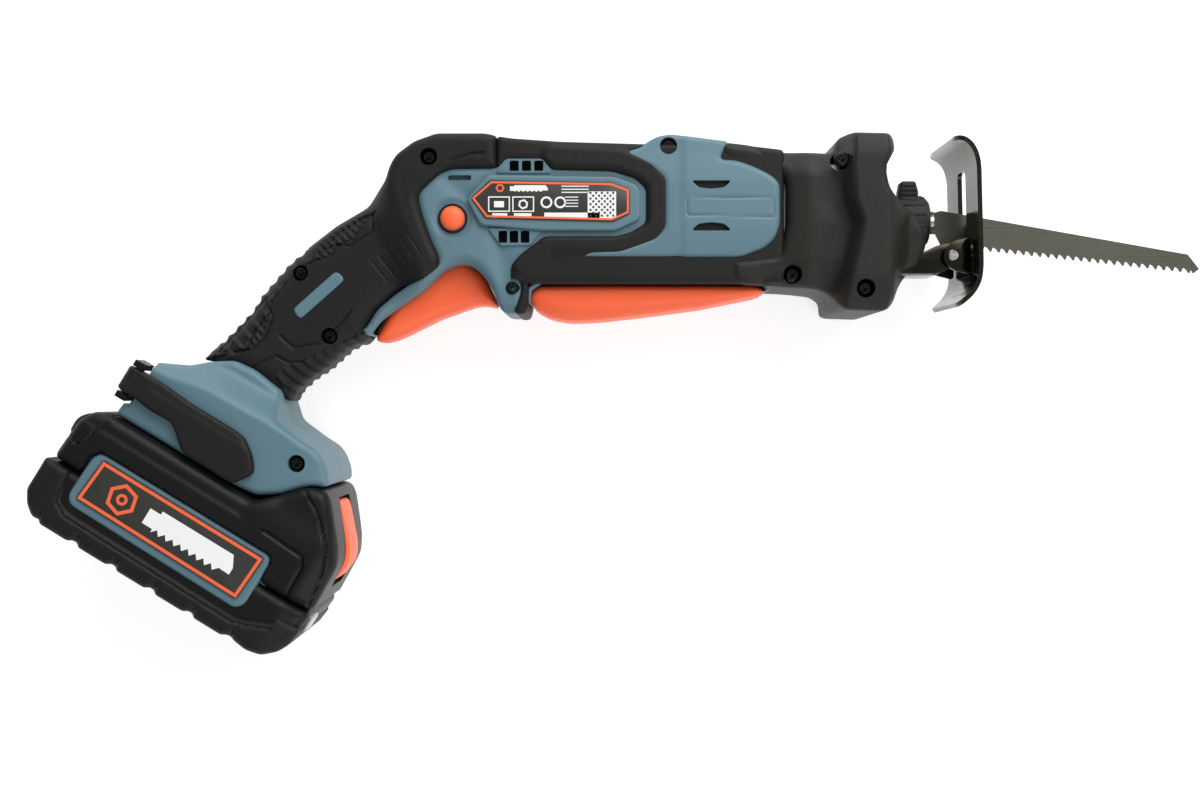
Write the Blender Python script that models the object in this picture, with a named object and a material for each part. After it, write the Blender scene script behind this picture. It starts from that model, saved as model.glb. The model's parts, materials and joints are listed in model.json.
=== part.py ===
"""A compact cordless reciprocating saw on its left flank. +X is the cutting stroke, +Y the tool's top."""

import math

import bmesh
import bpy
from mathutils import Matrix, Vector

mm = 0.001

# Driving dimensions, in millimetres.
body_half_width = 24.0  # clamshell, at the motor
cover_half_width = 28.0  # raised motor cover
grip_half_width = 18.0  # over the rubber
foot_half_width = 32.5
nose_half_width = 38.0
pack_half_width = 38.0
pack_length = 124.0
pack_depth = 55.0
wall = 2.6
gap = 0.3  # between neighbours that never touch
half_gap = 0.15  # from the mid-plane to each half
running = 0.35  # between a shaft and what it turns or slides in
rubber = 2.5  # thickness of the moulded rubber over the grip
axis_y = 78.0  # motor and plunger axis
motor_radius = 20.0
shaft_radius = 2.5
gear_x = 78.0  # crank gear centre
gear_radius = 18.5
crank_radius = 11.0  # half of the stroke
crank_pin_radius = 4.0
plunger_radius = 6.0
pinion_radius = 6.0
blade_thickness = 1.2
blade_tip_x = 263.5
tooth_count = 26
collar_radius = 11.5
shoe_half_width = 27.0
shoe_plate = 2.0
cell_radius = 9.15
cell_length = 65.0
screw_radius = 1.9
screw_head_radius = 3.2
screw_end_z = 20.0  # the nose screws stop over the gear case

# The pack's own directions: along it toward the release button, and down away from the grip.
pack_turn = math.radians(-31.46)
along = Vector((math.cos(pack_turn), math.sin(pack_turn), 0.0))
down = Vector((math.sin(pack_turn), -math.cos(pack_turn), 0.0))
pack_origin = Vector((-160.3, -32.1, 0.0))

colours = {
    "slate_blue": ((0.075, 0.15, 0.19), 0.0, 0.5),
    "black_rubber": ((0.012, 0.012, 0.011), 0.0, 0.75),
    "black_plastic": ((0.02, 0.02, 0.019), 0.0, 0.5),
    "orange": ((0.9, 0.11, 0.04), 0.0, 0.5),
    "label_grey": ((0.07, 0.07, 0.065), 0.0, 0.35),
    "clear_lens": ((0.8, 0.85, 0.9), 0.0, 0.1),
    "steel": ((0.5, 0.5, 0.5), 1.0, 0.3),
    "black_nickel": ((0.06, 0.058, 0.052), 1.0, 0.25),
    "blade_steel": ((0.15, 0.15, 0.13), 1.0, 0.4),
    "aluminium": ((0.6, 0.6, 0.6), 1.0, 0.45),
    "bronze": ((0.6, 0.35, 0.12), 1.0, 0.4),
    "copper": ((0.8, 0.35, 0.2), 1.0, 0.35),
    "cell_wrap": ((0.05, 0.25, 0.2), 0.0, 0.4),
    "circuit_board": ((0.02, 0.2, 0.06), 0.0, 0.5),
    "red_wire": ((0.5, 0.02, 0.02), 0.0, 0.5),
}


def clear_scene():
    for thing in list(bpy.data.objects):
        bpy.data.objects.remove(thing)


def material(slot):
    found = bpy.data.materials.get(slot)
    if found:
        return found
    made = bpy.data.materials.new(slot)
    made.use_nodes = True
    shader = made.node_tree.nodes["Principled BSDF"]
    colour, metal, rough = colours[slot]
    shader.inputs["Base Color"].default_value = (*colour, 1.0)
    shader.inputs["Metallic"].default_value = metal
    shader.inputs["Roughness"].default_value = rough
    made.diffuse_color = (*colour, 1.0)
    return made


def moved(points, step):
    return [(x + step.x, y + step.y) for x, y in points]


def in_pack(points):
    """Points given along and down the pack, as x and y of the whole tool."""
    placed = [pack_origin + along * a + down * b for a, b in points]
    return [(p.x, p.y) for p in placed]


def area(points):
    total = 0.0
    for i, (x, y) in enumerate(points):
        nx, ny = points[(i + 1) % len(points)]
        total += x * ny - nx * y
    return total / 2


def anticlockwise(points):
    return list(points) if area(points) > 0 else list(reversed(points))


def grow(points, distance):
    """The outline moved outward by a distance, or inward by a negative one."""
    points = anticlockwise(points)
    moved = []
    for i, here in enumerate(points):
        before = Vector(points[i - 1])
        now = Vector(here)
        after = Vector(points[(i + 1) % len(points)])
        first = (now - before).normalized()
        second = (after - now).normalized()
        normal = Vector((first.y + second.y, -first.x - second.x))
        if normal.length < 1e-6:
            normal = Vector((first.y, -first.x))
        normal.normalize()
        spread = max(0.45, normal.dot(Vector((first.y, -first.x))))
        moved.append(tuple(now + normal * distance / spread))
    return moved


def rounded(points, radius, steps=2):
    """The outline with each corner cut back by up to the radius and rounded."""
    points = anticlockwise(points)
    softened = []
    for i, here in enumerate(points):
        before = Vector(points[i - 1])
        now = Vector(here)
        after = Vector(points[(i + 1) % len(points)])
        back = min(radius, (before - now).length * 0.45)
        ahead = min(radius, (after - now).length * 0.45)
        start = now + (before - now).normalized() * back
        end = now + (after - now).normalized() * ahead
        for k in range(steps + 1):
            t = k / steps
            point = start.lerp(now, t).lerp(now.lerp(end, t), t)
            softened.append(tuple(point))
    return softened


def finish(name, work, slot, smooth=False):
    bmesh.ops.recalc_face_normals(work, faces=work.faces)
    mesh = bpy.data.meshes.new(name)
    work.to_mesh(mesh)
    work.free()
    for polygon in mesh.polygons:
        polygon.use_smooth = smooth
    made = bpy.data.objects.new(name, mesh)
    bpy.context.scene.collection.objects.link(made)
    made.data.materials.append(material(slot))
    return made


def prism(name, outline, low, high, slot="black_plastic", soften=0.0, ends="top", steps=2):
    """An outline in x and y raised from one height to another, with its upper edge softened."""
    outline = anticlockwise(outline)
    levels = [(0.0, low)]
    corner = [
        (0.0, soften), (0.3 * soften, 0.3 * soften), (soften, 0.0),
    ] if steps > 1 else [(0.0, soften), (soften, 0.0)]
    if soften and ends == "both":
        levels = [(inset, low + drop) for inset, drop in reversed(corner)]
    if soften:
        levels += [(inset, high - drop) for inset, drop in corner]
    else:
        levels.append((0.0, high))
    work = bmesh.new()
    rings = []
    for inset, height in levels:
        ring = grow(outline, -inset) if inset else outline
        rings.append([work.verts.new((x * mm, y * mm, height * mm)) for x, y in ring])
    work.faces.new(list(reversed(rings[0])))
    work.faces.new(rings[-1])
    count = len(outline)
    for lower_ring, upper_ring in zip(rings, rings[1:]):
        for i in range(count):
            j = (i + 1) % count
            work.faces.new((lower_ring[i], lower_ring[j], upper_ring[j], upper_ring[i]))
    return finish(name, work, slot)


def lathe(name, profile, slot, segments=32, centre=(0, 0, 0), direction="X", smooth=True):
    """A profile of (distance along the axis, radius) turned round the axis."""
    work = bmesh.new()
    rings = []
    for distance, radius in profile:
        if radius < 1e-6:
            rings.append([work.verts.new((distance * mm, 0, 0))])
            continue
        ring = []
        for k in range(segments):
            angle = 2 * math.pi * k / segments
            ring.append(
                work.verts.new(
                    (distance * mm, radius * mm * math.cos(angle), radius * mm * math.sin(angle))
                )
            )
        rings.append(ring)
    closes = profile[0][1] > 1e-6
    pairs = list(zip(rings, rings[1:]))
    if closes:
        pairs.append((rings[-1], rings[0]))
    for first, second in pairs:
        for k in range(segments):
            n = (k + 1) % segments
            if len(first) == 1 and len(second) == 1:
                continue
            if len(first) == 1:
                work.faces.new((first[0], second[k], second[n]))
            elif len(second) == 1:
                work.faces.new((first[k], second[0], first[n]))
            else:
                work.faces.new((first[k], second[k], second[n], first[n]))
    turn = Matrix.Identity(4)
    if direction == "Z":
        turn = Matrix.Rotation(math.radians(-90), 4, "Y")
    elif isinstance(direction, Vector):
        turn = Vector((1, 0, 0)).rotation_difference(direction).to_matrix().to_4x4()
    work.transform(Matrix.Translation(Vector(centre) * mm) @ turn)
    made = finish(name, work, slot, smooth)
    return made


def block(name, low, high, slot="black_plastic", soften=0.0):
    outline = [(low[0], low[1]), (high[0], low[1]), (high[0], high[1]), (low[0], high[1])]
    return prism(name, outline, low[2], high[2], slot, soften, "both", 1)


def pack_block(name, low, high, slot="black_plastic", soften=0.0):
    """A box given along, down and across the pack."""
    outline = in_pack([(low[0], low[1]), (high[0], low[1]), (high[0], high[1]), (low[0], high[1])])
    return prism(name, outline, low[2], high[2], slot, soften, "both", 1)


def is_closed(mesh):
    work = bmesh.new()
    work.from_mesh(mesh)
    sound = len(work.faces) > 3 and all(len(edge.link_faces) == 2 for edge in work.edges)
    sound = sound and work.calc_volume(signed=True) > 0
    work.free()
    return sound


def combine(target, others, operation, solvers=("EXACT", "MANIFOLD")):
    """Joins or cuts, with the exact solver wherever it leaves a closed mesh."""
    for other in others:
        for solver in solvers:
            modifier = target.modifiers.new("fit", "BOOLEAN")
            modifier.operation = operation
            modifier.solver = solver
            modifier.object = other
            graph = bpy.context.evaluated_depsgraph_get()
            shaped = bpy.data.meshes.new_from_object(target.evaluated_get(graph))
            target.modifiers.clear()
            if is_closed(shaped):
                break
        target.data = shaped
        bpy.data.objects.remove(other)
    return target


def cut(target, *cutters):
    return combine(target, cutters, "DIFFERENCE")


def join(target, *others):
    return combine(target, others, "UNION")


def drop_offcuts(thing):
    """Keeps the largest connected piece and removes slivers that a cut left behind."""
    work = bmesh.new()
    work.from_mesh(thing.data)
    left = set(work.verts)
    pieces = []
    while left:
        piece = {left.pop()}
        edge_of = list(piece)
        while edge_of:
            vert = edge_of.pop()
            for edge in vert.link_edges:
                other = edge.other_vert(vert)
                if other in left:
                    left.remove(other)
                    piece.add(other)
                    edge_of.append(other)
        pieces.append(piece)
    pieces.sort(key=len)
    for piece in pieces[:-1]:
        bmesh.ops.delete(work, geom=list(piece), context="VERTS")
    work.to_mesh(thing.data)
    work.free()


def mirrored(source, name):
    """The same piece for the tool's other side."""
    work = bmesh.new()
    work.from_mesh(source.data)
    work.transform(Matrix.Diagonal((1, 1, -1, 1)))
    bmesh.ops.reverse_faces(work, faces=work.faces)
    mesh = bpy.data.meshes.new(name)
    work.to_mesh(mesh)
    work.free()
    made = bpy.data.objects.new(name, mesh)
    bpy.context.scene.collection.objects.link(made)
    made.data.materials.clear()
    for slot in source.data.materials:
        made.data.materials.append(slot)
    return made


def hinge_at(thing, point):
    """Moves an object's origin to a point of its joint axis and leaves its shape in place."""
    shift = Vector(point) * mm
    thing.data.transform(Matrix.Translation(-shift))
    thing.location = shift


clear_scene()

# outlines
grip_back = [
    (-172.5, 17.5), (-166.5, 23.0), (-158.5, 31.0), (-150.5, 39.5), (-147.5, 45.0), (-135.0, 59.5),
    (-125.5, 67.0), (-114.5, 75.5), (-101.0, 83.5), (-96.0, 89.0), (-91.5, 93.5),
]
grip_front = [(-137.5, -1.5), (-132.0, 3.0), (-125.5, 9.0), (-119.0, 13.0), (-109.0, 22.0), (-101.0, 25.5)]
grip_core = [(-139.0, -8.0)] + grip_front + [
    (-96.0, 33.0), (-84.0, 46.0), (-76.0, 66.0),
] + list(reversed(grip_back)) + [(-171.0, 8.0)]
body_outline = [
    (
        -103.0, 30.0,
    ), (-99.5, 27.0), (-94.2, 34.0), (-85.5, 40.2), (-74.8, 47.2), (-66.3, 55.8), (-59.5, 58.3),
    (-54.0, 57.2), (-49.2, 52.4), (-45.6, 46.6), (-42.5, 38.5), (-39.5, 36.5), (-34.5, 36.5), (-31.8, 40.0),
    (-31.6, 52.6), (72.0, 52.6), (72.0, 104.5), (17.5, 105.5), (-17.5, 106.5), (-44.0, 109.3),
    (
        -69.5, 110.8,
    ), (-77.0, 108.0), (-83.5, 103.0), (-86.0, 99.5), (-88.5, 92.0), (-98.0, 82.0), (-108.0, 60.0),
]
cover_outline = [
    (
        7.5, 104.5,
    ), (21.5, 98.3), (27.3, 93.5), (27.3, 73.0), (23.5, 68.7), (8.5, 63.8), (-4.5, 63.2), (-8.0, 60.2),
    (59.5, 60.2), (69.7, 64.3), (74.0, 68.3), (76.0, 74.5), (76.0, 91.5), (72.2, 95.2), (64.0, 99.2),
    (57.5, 101.5), (56.5, 109.7), (30.0, 112.7), (24.0, 111.7), (17.5, 107.7),
]
label_frame = [
    (-56.5, 85.0), (-47.5, 94.5), (6.0, 93.8), (16.5, 89.5), (16.5, 76.0), (6.5, 72.0), (-25.0, 72.0),
    (-50.5, 75.0),
]
label_outline = [
    (-54.5, 85.5), (-46.5, 93.0), (5.0, 92.0), (12.0, 88.5), (12.0, 78.5), (6.5, 75.5), (-48.5, 77.0),
]
foot_outline = in_pack([
    (-50.5, 0.0), (-49.5, -9.0), (
        -48.0, -27.0,
    ), (-44.5, -28.5), (-36.5, -32.5), (-32.0, -37.0), (-29.5, -39.0),
    (4.0, -39.0), (6.0, -36.5), (8.5, -32.5), (22.5, -31.0), (29.0, -31.0), (34.0, -29.0), (39.0, -25.0),
    (41.8, -20.2), (35.0, -16.8), (26.0, -7.0), (18.0, -1.6), (7.0, -0.4),
])
rubber_edge = [(-167.0, 16.5), (-162.0, 12.5), (-154.5, 11.0), (-143.5, 4.0), (-134.0, -1.0)]
rubber_front = [
    (
        -101.0, 25.5,
    ), (-99.0, 30.0), (-94.5, 37.5), (-87.5, 43.5), (-77.0, 50.0), (-68.0, 56.5), (-68.0, 60.5),
    (-71.5, 68.0), (-75.5, 79.0), (-77.0, 85.5), (-76.0, 88.5), (-68.0, 96.0), (-63.0, 98.0), (-45.0, 98.0),
]
rubber_top = [(-48.5, 113.5), (-69.5, 113.5), (-79.0, 110.0), (-86.5, 104.5), (-89.0, 100.5)]
rubber_outline = (
    rubber_edge + grip_front[1:-1] + rubber_front + [(-45.0, 112.3)] + rubber_top + list(
        reversed(grip_back)
    )
)
band_outline = [
    (
        -44.4, 112.0,
    ), (-44.4, 98.0), (-43.5, 97.8), (-39.5, 101.8), (-24.5, 101.8), (-21.0, 97.8), (-20.5, 70.0),
    (-34.0, 63.0), (-37.5, 58.5), (-37.5, 49.5), (-31.2, 49.3), (59.5, 49.3), (59.7, 59.9), (59.7, 109.0),
    (20.0, 108.5), (-17.5, 109.0), (-37.5, 110.5),
]
nose_outline = [
    (60.1, 108.5), (78.0, 105.5), (95.5, 105.0), (99.0, 105.5), (
        100.5, 109.5,
    ), (102.0, 112.0), (121.5, 111.5),
    (
        124.5, 109.0,
    ), (125.0, 106.0), (122.5, 103.0), (119.0, 97.5), (120.0, 91.0), (121.5, 87.5), (125.5, 85.0),
    (132.0, 81.5), (136.5, 77.0), (138.5, 73.5), (139.5, 67.0), (138.0, 60.0), (132.0, 52.0), (123.5, 41.0),
    (119.0, 37.0), (103.0, 37.5), (100.5, 39.0), (99.0, 43.5), (94.5, 46.5), (86.5, 47.5), (60.1, 49.0),
]
pad_outline = [
    (
        -30.0, 43.5,
    ), (-29.7, 48.6), (59.6, 48.6), (72.0, 46.0), (60.5, 43.5), (43.5, 40.0), (17.5, 36.5), (0.0, 34.5),
    (-13.0, 34.0), (-21.5, 35.5), (-28.0, 40.0),
]
trigger_shown = [
    (-98.0, 25.5), (-93.5, 25.0), (-87.0, 27.0), (-70.0, 35.5), (-54.5, 41.0), (-50.0, 41.5), (-44.0, 40.0),
]
trigger_hidden = [(-46.5, 46.0), (-51.0, 55.0), (-59.5, 62.0), (-68.0, 60.0), (-77.0, 53.0), (-90.0, 42.0)]
trigger_way = Vector((-0.62, 0.785, 0.0)).normalized()
trigger_travel = 6.0


def housing_shape(name, clear):
    """The blue clamshell's outside on one side, grown by a clearance where something fits round it."""
    under = grip_half_width - rubber - gap
    keep = 0.0 if clear else 1.0  # a fit is left sharp-edged, so that the softened piece sits inside it
    body = prism(name, grow(body_outline, clear), -2.0, body_half_width + clear, "slate_blue", 2.5 * keep)
    grip = prism(
        "grip", grow(grip_core, clear - rubber - gap), -2.3, under + clear, "slate_blue", 2.5 * keep,
    )
    foot = prism("foot", grow(foot_outline, clear), -2.6, foot_half_width + clear, "slate_blue", 2.0 * keep)
    cover = prism(
        "cover", grow(cover_outline, clear), -2.9, cover_half_width + clear, "slate_blue", 1.5 * keep,
    )
    frame_top = body_half_width + 2.4 + 5 * clear
    frame = prism("frame", grow(label_frame, clear), -3.2, frame_top, "slate_blue", 0.6 * keep)
    join(body, grip, foot, cover, frame)
    if clear:
        return body
    return cut(body, block("below", (-400, -400, -40), (400, 400, half_gap)))


# clamshell halves
housing_right = housing_shape("housing_right", 0.0)
body_inside = grow(body_outline, -wall)
grip_inside = [
    (-137.3, 9.0), (
        -124.3, 19.0,
    ), (-113.0, 29.0), (-103.0, 35.0), (-97.0, 45.0), (-96.0, 74.0), (-110.5, 68.5),
    (-121.0, 60.5), (-130.0, 53.0), (-141.5, 39.5), (-152.8, 25.4),
]
rail_half = 20.0
cut(
    housing_right,
    prism("space", body_inside, -1, body_half_width - wall),
    prism("space", grip_inside, -1, grip_half_width - rubber - gap - wall),
    prism(
        "space", in_pack([(-45, -33), (3, -33), (28, -26), (33, -22), (22, -10.5), (-45, -10.5)]), -1,
        foot_half_width - 3,
    ),
    prism("passage", [(-152, 16), (-142, 20), (-146, -2), (-160, -2)], -1, 8),
    pack_block("rails", (-46, -7.4, -1), (60, -2.7, rail_half + 0.4)),
    pack_block("mouth", (-46, -3.0, -1), (60, 3.0, rail_half - 3.6)),
    pack_block("contacts", (-30, -12.0, -1), (10, -6.0, 14)),
    prism("swept", grow(trigger_shown + trigger_hidden, 4.0), -1, 12.2),
    prism(
        "pulled", grow(moved(trigger_shown + trigger_hidden, trigger_way * trigger_travel), 1.2), -1, 12.2,
    ),
    block("front", (60, 53.5, -1), (80, 102.5, body_half_width - wall)),
)
lens_slot = [
    [(38.5, 92.2), (55.5, 92.2), (53.5, 89.8), (40.5, 89.8)],
    [(38.5, 71.8), (55.5, 71.8), (53.5, 74.2), (40.5, 74.2)],
]
for slot in lens_slot:
    cut(housing_right, prism("vent", slot, 15, 40))
drop_offcuts(housing_right)
housing_left = mirrored(housing_right, "housing_left")
cut(
    housing_right,
    lathe("button", [(15, 0), (15, 5.4), (30, 5.4), (30, 0)], "steel", 24, (-62.5, 77, 0), "Z"),
)
cut(
    housing_left,
    lathe("button", [(-30, 0), (-30, 5.4), (-15, 5.4), (-15, 0)], "steel", 24, (-62.5, 77, 0), "Z"),
)

# rubber over the grip and round the motor
grip_rubber_right = prism(
    "grip_rubber_right", rubber_outline, half_gap, body_half_width + 1.8, "black_rubber", 1.6,
)
above_grip = [
    (-99.3, 18.0), (-107.0, 60.0), (-100.5, 84.5), (-88.5, 95.2), (-120, 140), (-230, 60), (-160, -60),
]
cut(grip_rubber_right, prism("above", above_grip, grip_half_width, 60))
cut(grip_rubber_right, housing_shape("fit", gap))
grip_rubber_left = mirrored(grip_rubber_right, "grip_rubber_left")

band_right = prism("body_band_right", band_outline, half_gap, body_half_width + 2.8, "black_rubber", 1.6)
combine(band_right, [housing_shape("fit", gap)], "DIFFERENCE", ("MANIFOLD",))
for k in range(3):
    left = -37.2 + 5.2 * k
    cut(band_right, block("vent", (left, 97.6, 10), (left + 3.4, 100.6, 40)))
drop_offcuts(band_right)
band_left = mirrored(band_right, "body_band_left")
for k in range(3):
    left = -43.0 + 4.6 * k
    for side, half in ((1, housing_right), (-1, housing_left)):
        ends = sorted((side * 15, side * 40))
        cut(half, block("vent", (left, 68.0, ends[0]), (left + 3.2, 71.4, ends[1])))

# nose covers
nose_right = prism(
    "nose_cover_right", nose_outline, half_gap, nose_half_width, "black_plastic", 2.0, "top", 2,
)
nose_inside = [
    (58, 101.5), (97, 101.5), (104, 105), (117, 105), (117, 96), (118, 84), (133, 74), (134, 62), (116, 42),
    (104, 42), (98, 52), (58, 52.5),
]
lever_slot = block("slot", (100, 84, -1), (150, 98, 6))
tongue_slot = block("slot", (100, 53.6, -1), (150, 60.4, 10.4))
cut(
    nose_right,
    prism("space", nose_inside, -1, nose_half_width - 4),
    housing_shape("fit", gap),
    lathe("mouth", [(104, 0), (104, 14.5), (150, 14.5), (150, 0)], "steel", 32, (0, axis_y, 0)),
    lever_slot,
    tongue_slot,
    block("arms", (127, 53.6, -1), (150, 70.5, 13.4)),
)
nose_left = mirrored(nose_right, "nose_cover_left")
cut(nose_right, lathe("lamp", [(112, 0), (112, 2.7), (130, 2.7), (130, 0)], "steel", 16, (0, 99, 20)))

pad = prism("front_grip_pad", pad_outline, -19, 19, "orange", 5.0, "both", 2)
cut(pad, prism("relief", [(-24, 50), (50, 50), (50, 43.5), (20, 41), (-18, 40)], -13, 13))
cut(pad, housing_shape("fit", gap), mirrored(housing_left, "fit"))

# label plates
body_label_right = prism(
    "body_label_right", label_outline, body_half_width + 2.7, body_half_width + 3.7, "label_grey",
)
body_label_left = mirrored(body_label_right, "body_label_left")

# motor and gears
motor_back, motor_front = -18.0, 42.0
can = [
    (motor_back, 8.0), (motor_back, motor_radius), (motor_front, motor_radius), (
        motor_front, motor_radius - 2,
    ),
    (motor_back + 2, motor_radius - 2), (motor_back + 2, 8.0),
]
lathe("motor_can", can, "steel", 40, (0, axis_y, 0))
bearing = [(0, shaft_radius + running), (0, 7), (4, 7), (4, shaft_radius + running)]
lathe("rear_bearing", bearing, "steel", 24, (-40, axis_y, 0))
lathe("front_bearing", bearing, "steel", 24, (49.5, axis_y, 0))
pinion_end = gear_x - crank_radius - crank_pin_radius - 2.5  # clear of the crank pin and the yoke
rotor_profile = [
    (-41, 0), (
        -41, shaft_radius,
    ), (-34, shaft_radius), (-34, 5), (-31, 5), (-31, 17.5), (-23, 17.5), (-23, 5), (-21, 5),
    (-21, shaft_radius), (-10, shaft_radius), (-10, 8), (-4, 8), (-4, 14), (32, 14), (32, shaft_radius),
    (pinion_end - 6, shaft_radius), (
        pinion_end - 6, pinion_radius - 0.4,
    ), (pinion_end, pinion_radius - 0.4), (pinion_end, 0),
]
rotor = lathe("motor_rotor", rotor_profile, "copper", 24, (0, axis_y, 0))
hinge_at(rotor, (0, axis_y, 0))

case_outline = [
    (48.5, 60), (52, 56.3), (101, 56.3), (104, 60), (104, 98), (101, 101), (52, 101), (48.5, 97),
]
case_half = 20.0
case_right = prism("gear_case_right", case_outline, half_gap, case_half, "aluminium", 2.0)
cut(
    case_right,
    prism("space", grow(case_outline, -2.2), -1, case_half - 2.5),
    lathe("bores", [(40, 0), (40, 7.3), (60, 7.3), (60, 0)], "steel", 24, (0, axis_y, 0)),
    lathe("bores", [(95, 0), (95, 9.3), (110, 9.3), (110, 0)], "steel", 24, (0, axis_y, 0)),
)
case_left = mirrored(case_right, "gear_case_left")
axle_hole = lathe(
    "axle", [(-30, 0), (-30, 4.0 + running), (-5, 4.0 + running), (-5, 0)], "steel", 24,
    (gear_x, axis_y, 0), "Z",
)
cut(case_left, axle_hole)

gear_top = -max(pinion_radius, plunger_radius) - gap
dish = 3.2  # the gear's web lies below its rim, and the crank pin stands in it
gear_profile = [
    (gear_top - 12.5, 0), (gear_top - 12.5, 4.0), (gear_top - 7, 4.0),
    (gear_top - 7, gear_radius), (gear_top, gear_radius),
    (gear_top, gear_radius - 2.6), (gear_top - dish, gear_radius - 3.0), (gear_top - dish, 0),
]
gear = lathe("crank_gear", gear_profile, "steel", 36, (gear_x, axis_y, 0), "Z")
pin_profile = [
    (gear_top - dish - 0.5, 0), (gear_top - dish - 0.5, crank_pin_radius), (gear_top, crank_pin_radius),
    (gear_top, 0),
]
join(gear, lathe("pin", pin_profile, "steel", 20, (gear_x + crank_radius, axis_y, 0), "Z"))
hinge_at(gear, (gear_x, axis_y, 0))

yoke_x = gear_x + crank_radius
slot_half = crank_pin_radius + running
slot_reach = crank_radius + crank_pin_radius + 1
plunger = lathe(
    "plunger", [
        (yoke_x + 5.2, 0), (yoke_x + 5.2, plunger_radius), (146, plunger_radius), (146, 0),
    ], "steel", 28, (0, axis_y, 0)
)
yoke_half = slot_half + 1.85
yoke = block(
    "yoke", (yoke_x - yoke_half, axis_y - 18.5, gear_top + 0.4), (yoke_x + yoke_half, axis_y + 18.5, -0.5),
    "steel",
)
join(plunger, yoke)
cut(
    plunger,
    block(
        "slot", (yoke_x - slot_half, axis_y - slot_reach, -14),
        (yoke_x + slot_half, axis_y + slot_reach, 6),
    ),
    block(
        "tang", (133, axis_y - 7, -blade_thickness / 2 - gap), (150, axis_y + 7, blade_thickness / 2 + gap),
    ),
)
lathe(
    "front_bushing", [
        (96.9, plunger_radius + running), (96.9, 9.0), (107.4, 9.0), (107.4, plunger_radius + running),
    ], "bronze", 28,
    (0, axis_y, 0),
)
collar_profile = [
    (130, plunger_radius + running), (130, 10), (131.5, collar_radius), (142, collar_radius), (143.5, 9.5),
    (143.5, plunger_radius + running),
]
collar = lathe("blade_clamp_lever", collar_profile, "black_plastic", 28, (0, axis_y, 0))
join(collar, block("tab", (131.8, axis_y + 9, -4), (138.6, axis_y + 18, 4)))
for k in range(6):
    angle = 2 * math.pi * (k + 0.5) / 6
    centre = Vector((0, axis_y + 11.4 * math.cos(angle), 11.4 * math.sin(angle)))
    cut(collar, lathe("groove", [(129, 0), (129, 1.3), (146, 1.3), (146, 0)], "steel", 8, centre))
hinge_at(collar, (137, axis_y, 0))

# blade
tooth_start = 166.0
pitch = (blade_tip_x - 3.0 - tooth_start) / tooth_count
teeth = []
for k in range(tooth_count):
    x = tooth_start + pitch * k
    line = 65.8 - 0.107 * (x - tooth_start)
    teeth += [(x, line + 2.0), (x + 0.7 * pitch, line - 0.1 * pitch)]
blade_outline = (
    [(134.0, 73.0), (147.5, 73.0), (150.0, 68.0)] + teeth + [(blade_tip_x - 2.5, 55.7), (blade_tip_x, 57.6)]
    + [(258.5, 64.0), (150.0, 83.2), (147.5, 82.5), (134.0, 82.5)]
)
prism("blade", blade_outline, -blade_thickness / 2, blade_thickness / 2, "blade_steel")

# shoe and its bracket
pivot = (151.5, 62.0)
path = [
    (150.5, 110.0), (155.5, 108.5), (158.0, 104.0), (159.0, 98.5), (160.0, 57.0), (159.3, 50.5),
    (156.0, 45.5), (151.0, 41.0),
]
inner = [(x - shoe_plate, y) for x, y in path[2:-2]]
ring = path + [(149.6, 42.8), (154.4, 47.0)] + list(reversed(inner)) + [(154.6, 106.6), (150.2, 108.0)]
shoe = prism("shoe", ring, -shoe_half_width, shoe_half_width, "black_nickel")
ear_outline = rounded([(159.2, 54), (159.2, 70), (152, 68.5), (147.5, 64.5), (147.5, 59.5), (151, 56)], 2)
for side in (1, -1):
    ends = sorted((side * 14.2, side * 16.6))
    join(shoe, prism("ear", ear_outline, ends[0], ends[1], "black_nickel"))
pin_hole = 2.5 + running
cut(
    shoe,
    block("window", (150, 58.5, -7), (170, 101, 7)),
    lathe(
        "bore", [(-30, 0), (-30, pin_hole), (30, pin_hole), (30, 0)], "steel", 20, (pivot[0], pivot[1], 0),
        "Z",
    ),
)
hinge_at(shoe, (pivot[0], pivot[1], 0))
bracket = block("shoe_bracket", (106.0, 54.2, -10), (146.0, 57.4, 10), "black_nickel")
arm_outline = [(128, 54.4), (146, 54.4), (154.5, 58), (155.5, 64), (153, 68), (146, 67), (136, 62)]
for side in (1, -1):
    ends = sorted((side * 9.9, side * 12.9))
    join(bracket, prism("arm", arm_outline, ends[0], ends[1], "black_nickel"))
cut(
    bracket,
    lathe(
        "bore", [(-30, 0), (-30, 2.5 + gap), (30, 2.5 + gap), (30, 0)], "steel", 20,
        (pivot[0], pivot[1], 0), "Z",
    ),
    block("slot", (108, 50, -2.6), (126, 60, 2.6)),
)
lathe("shoe_pin", [(-18, 0), (-18, 2.5), (18, 2.5), (18, 0)], "steel", 20, (pivot[0], pivot[1], 0), "Z")
lathe(
    "led_lens", [(114, 0), (114, 2.3), (121, 2.3), (122.3, 1.3), (122.3, 0)], "clear_lens", 16, (0, 99, 20),
)

# trigger, switch and lock-off button
trigger = prism(
    "trigger", rounded(trigger_shown + trigger_hidden, 2, 1), -11.4, 11.4, "orange", 3.0, "both",
)
spring_foot = Vector((-79.0, 52.0, 0.0))
switch_face = spring_foot + trigger_way * 9.5
side_way = Vector((trigger_way.y, -trigger_way.x, 0))


def along_trigger(start, reach, half):
    first = start + side_way * half
    second = start - side_way * half
    return [(p.x, p.y) for p in (first, second, second + trigger_way * reach, first + trigger_way * reach)]


cut(trigger, lathe("seat", [(-4, 0), (-4, 3.4), (20, 3.4), (20, 0)], "steel", 16, spring_foot, trigger_way))
prism("trigger_switch", along_trigger(switch_face, 17, 11), -9, 9, "black_plastic", 1.0, "both", 1)


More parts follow.
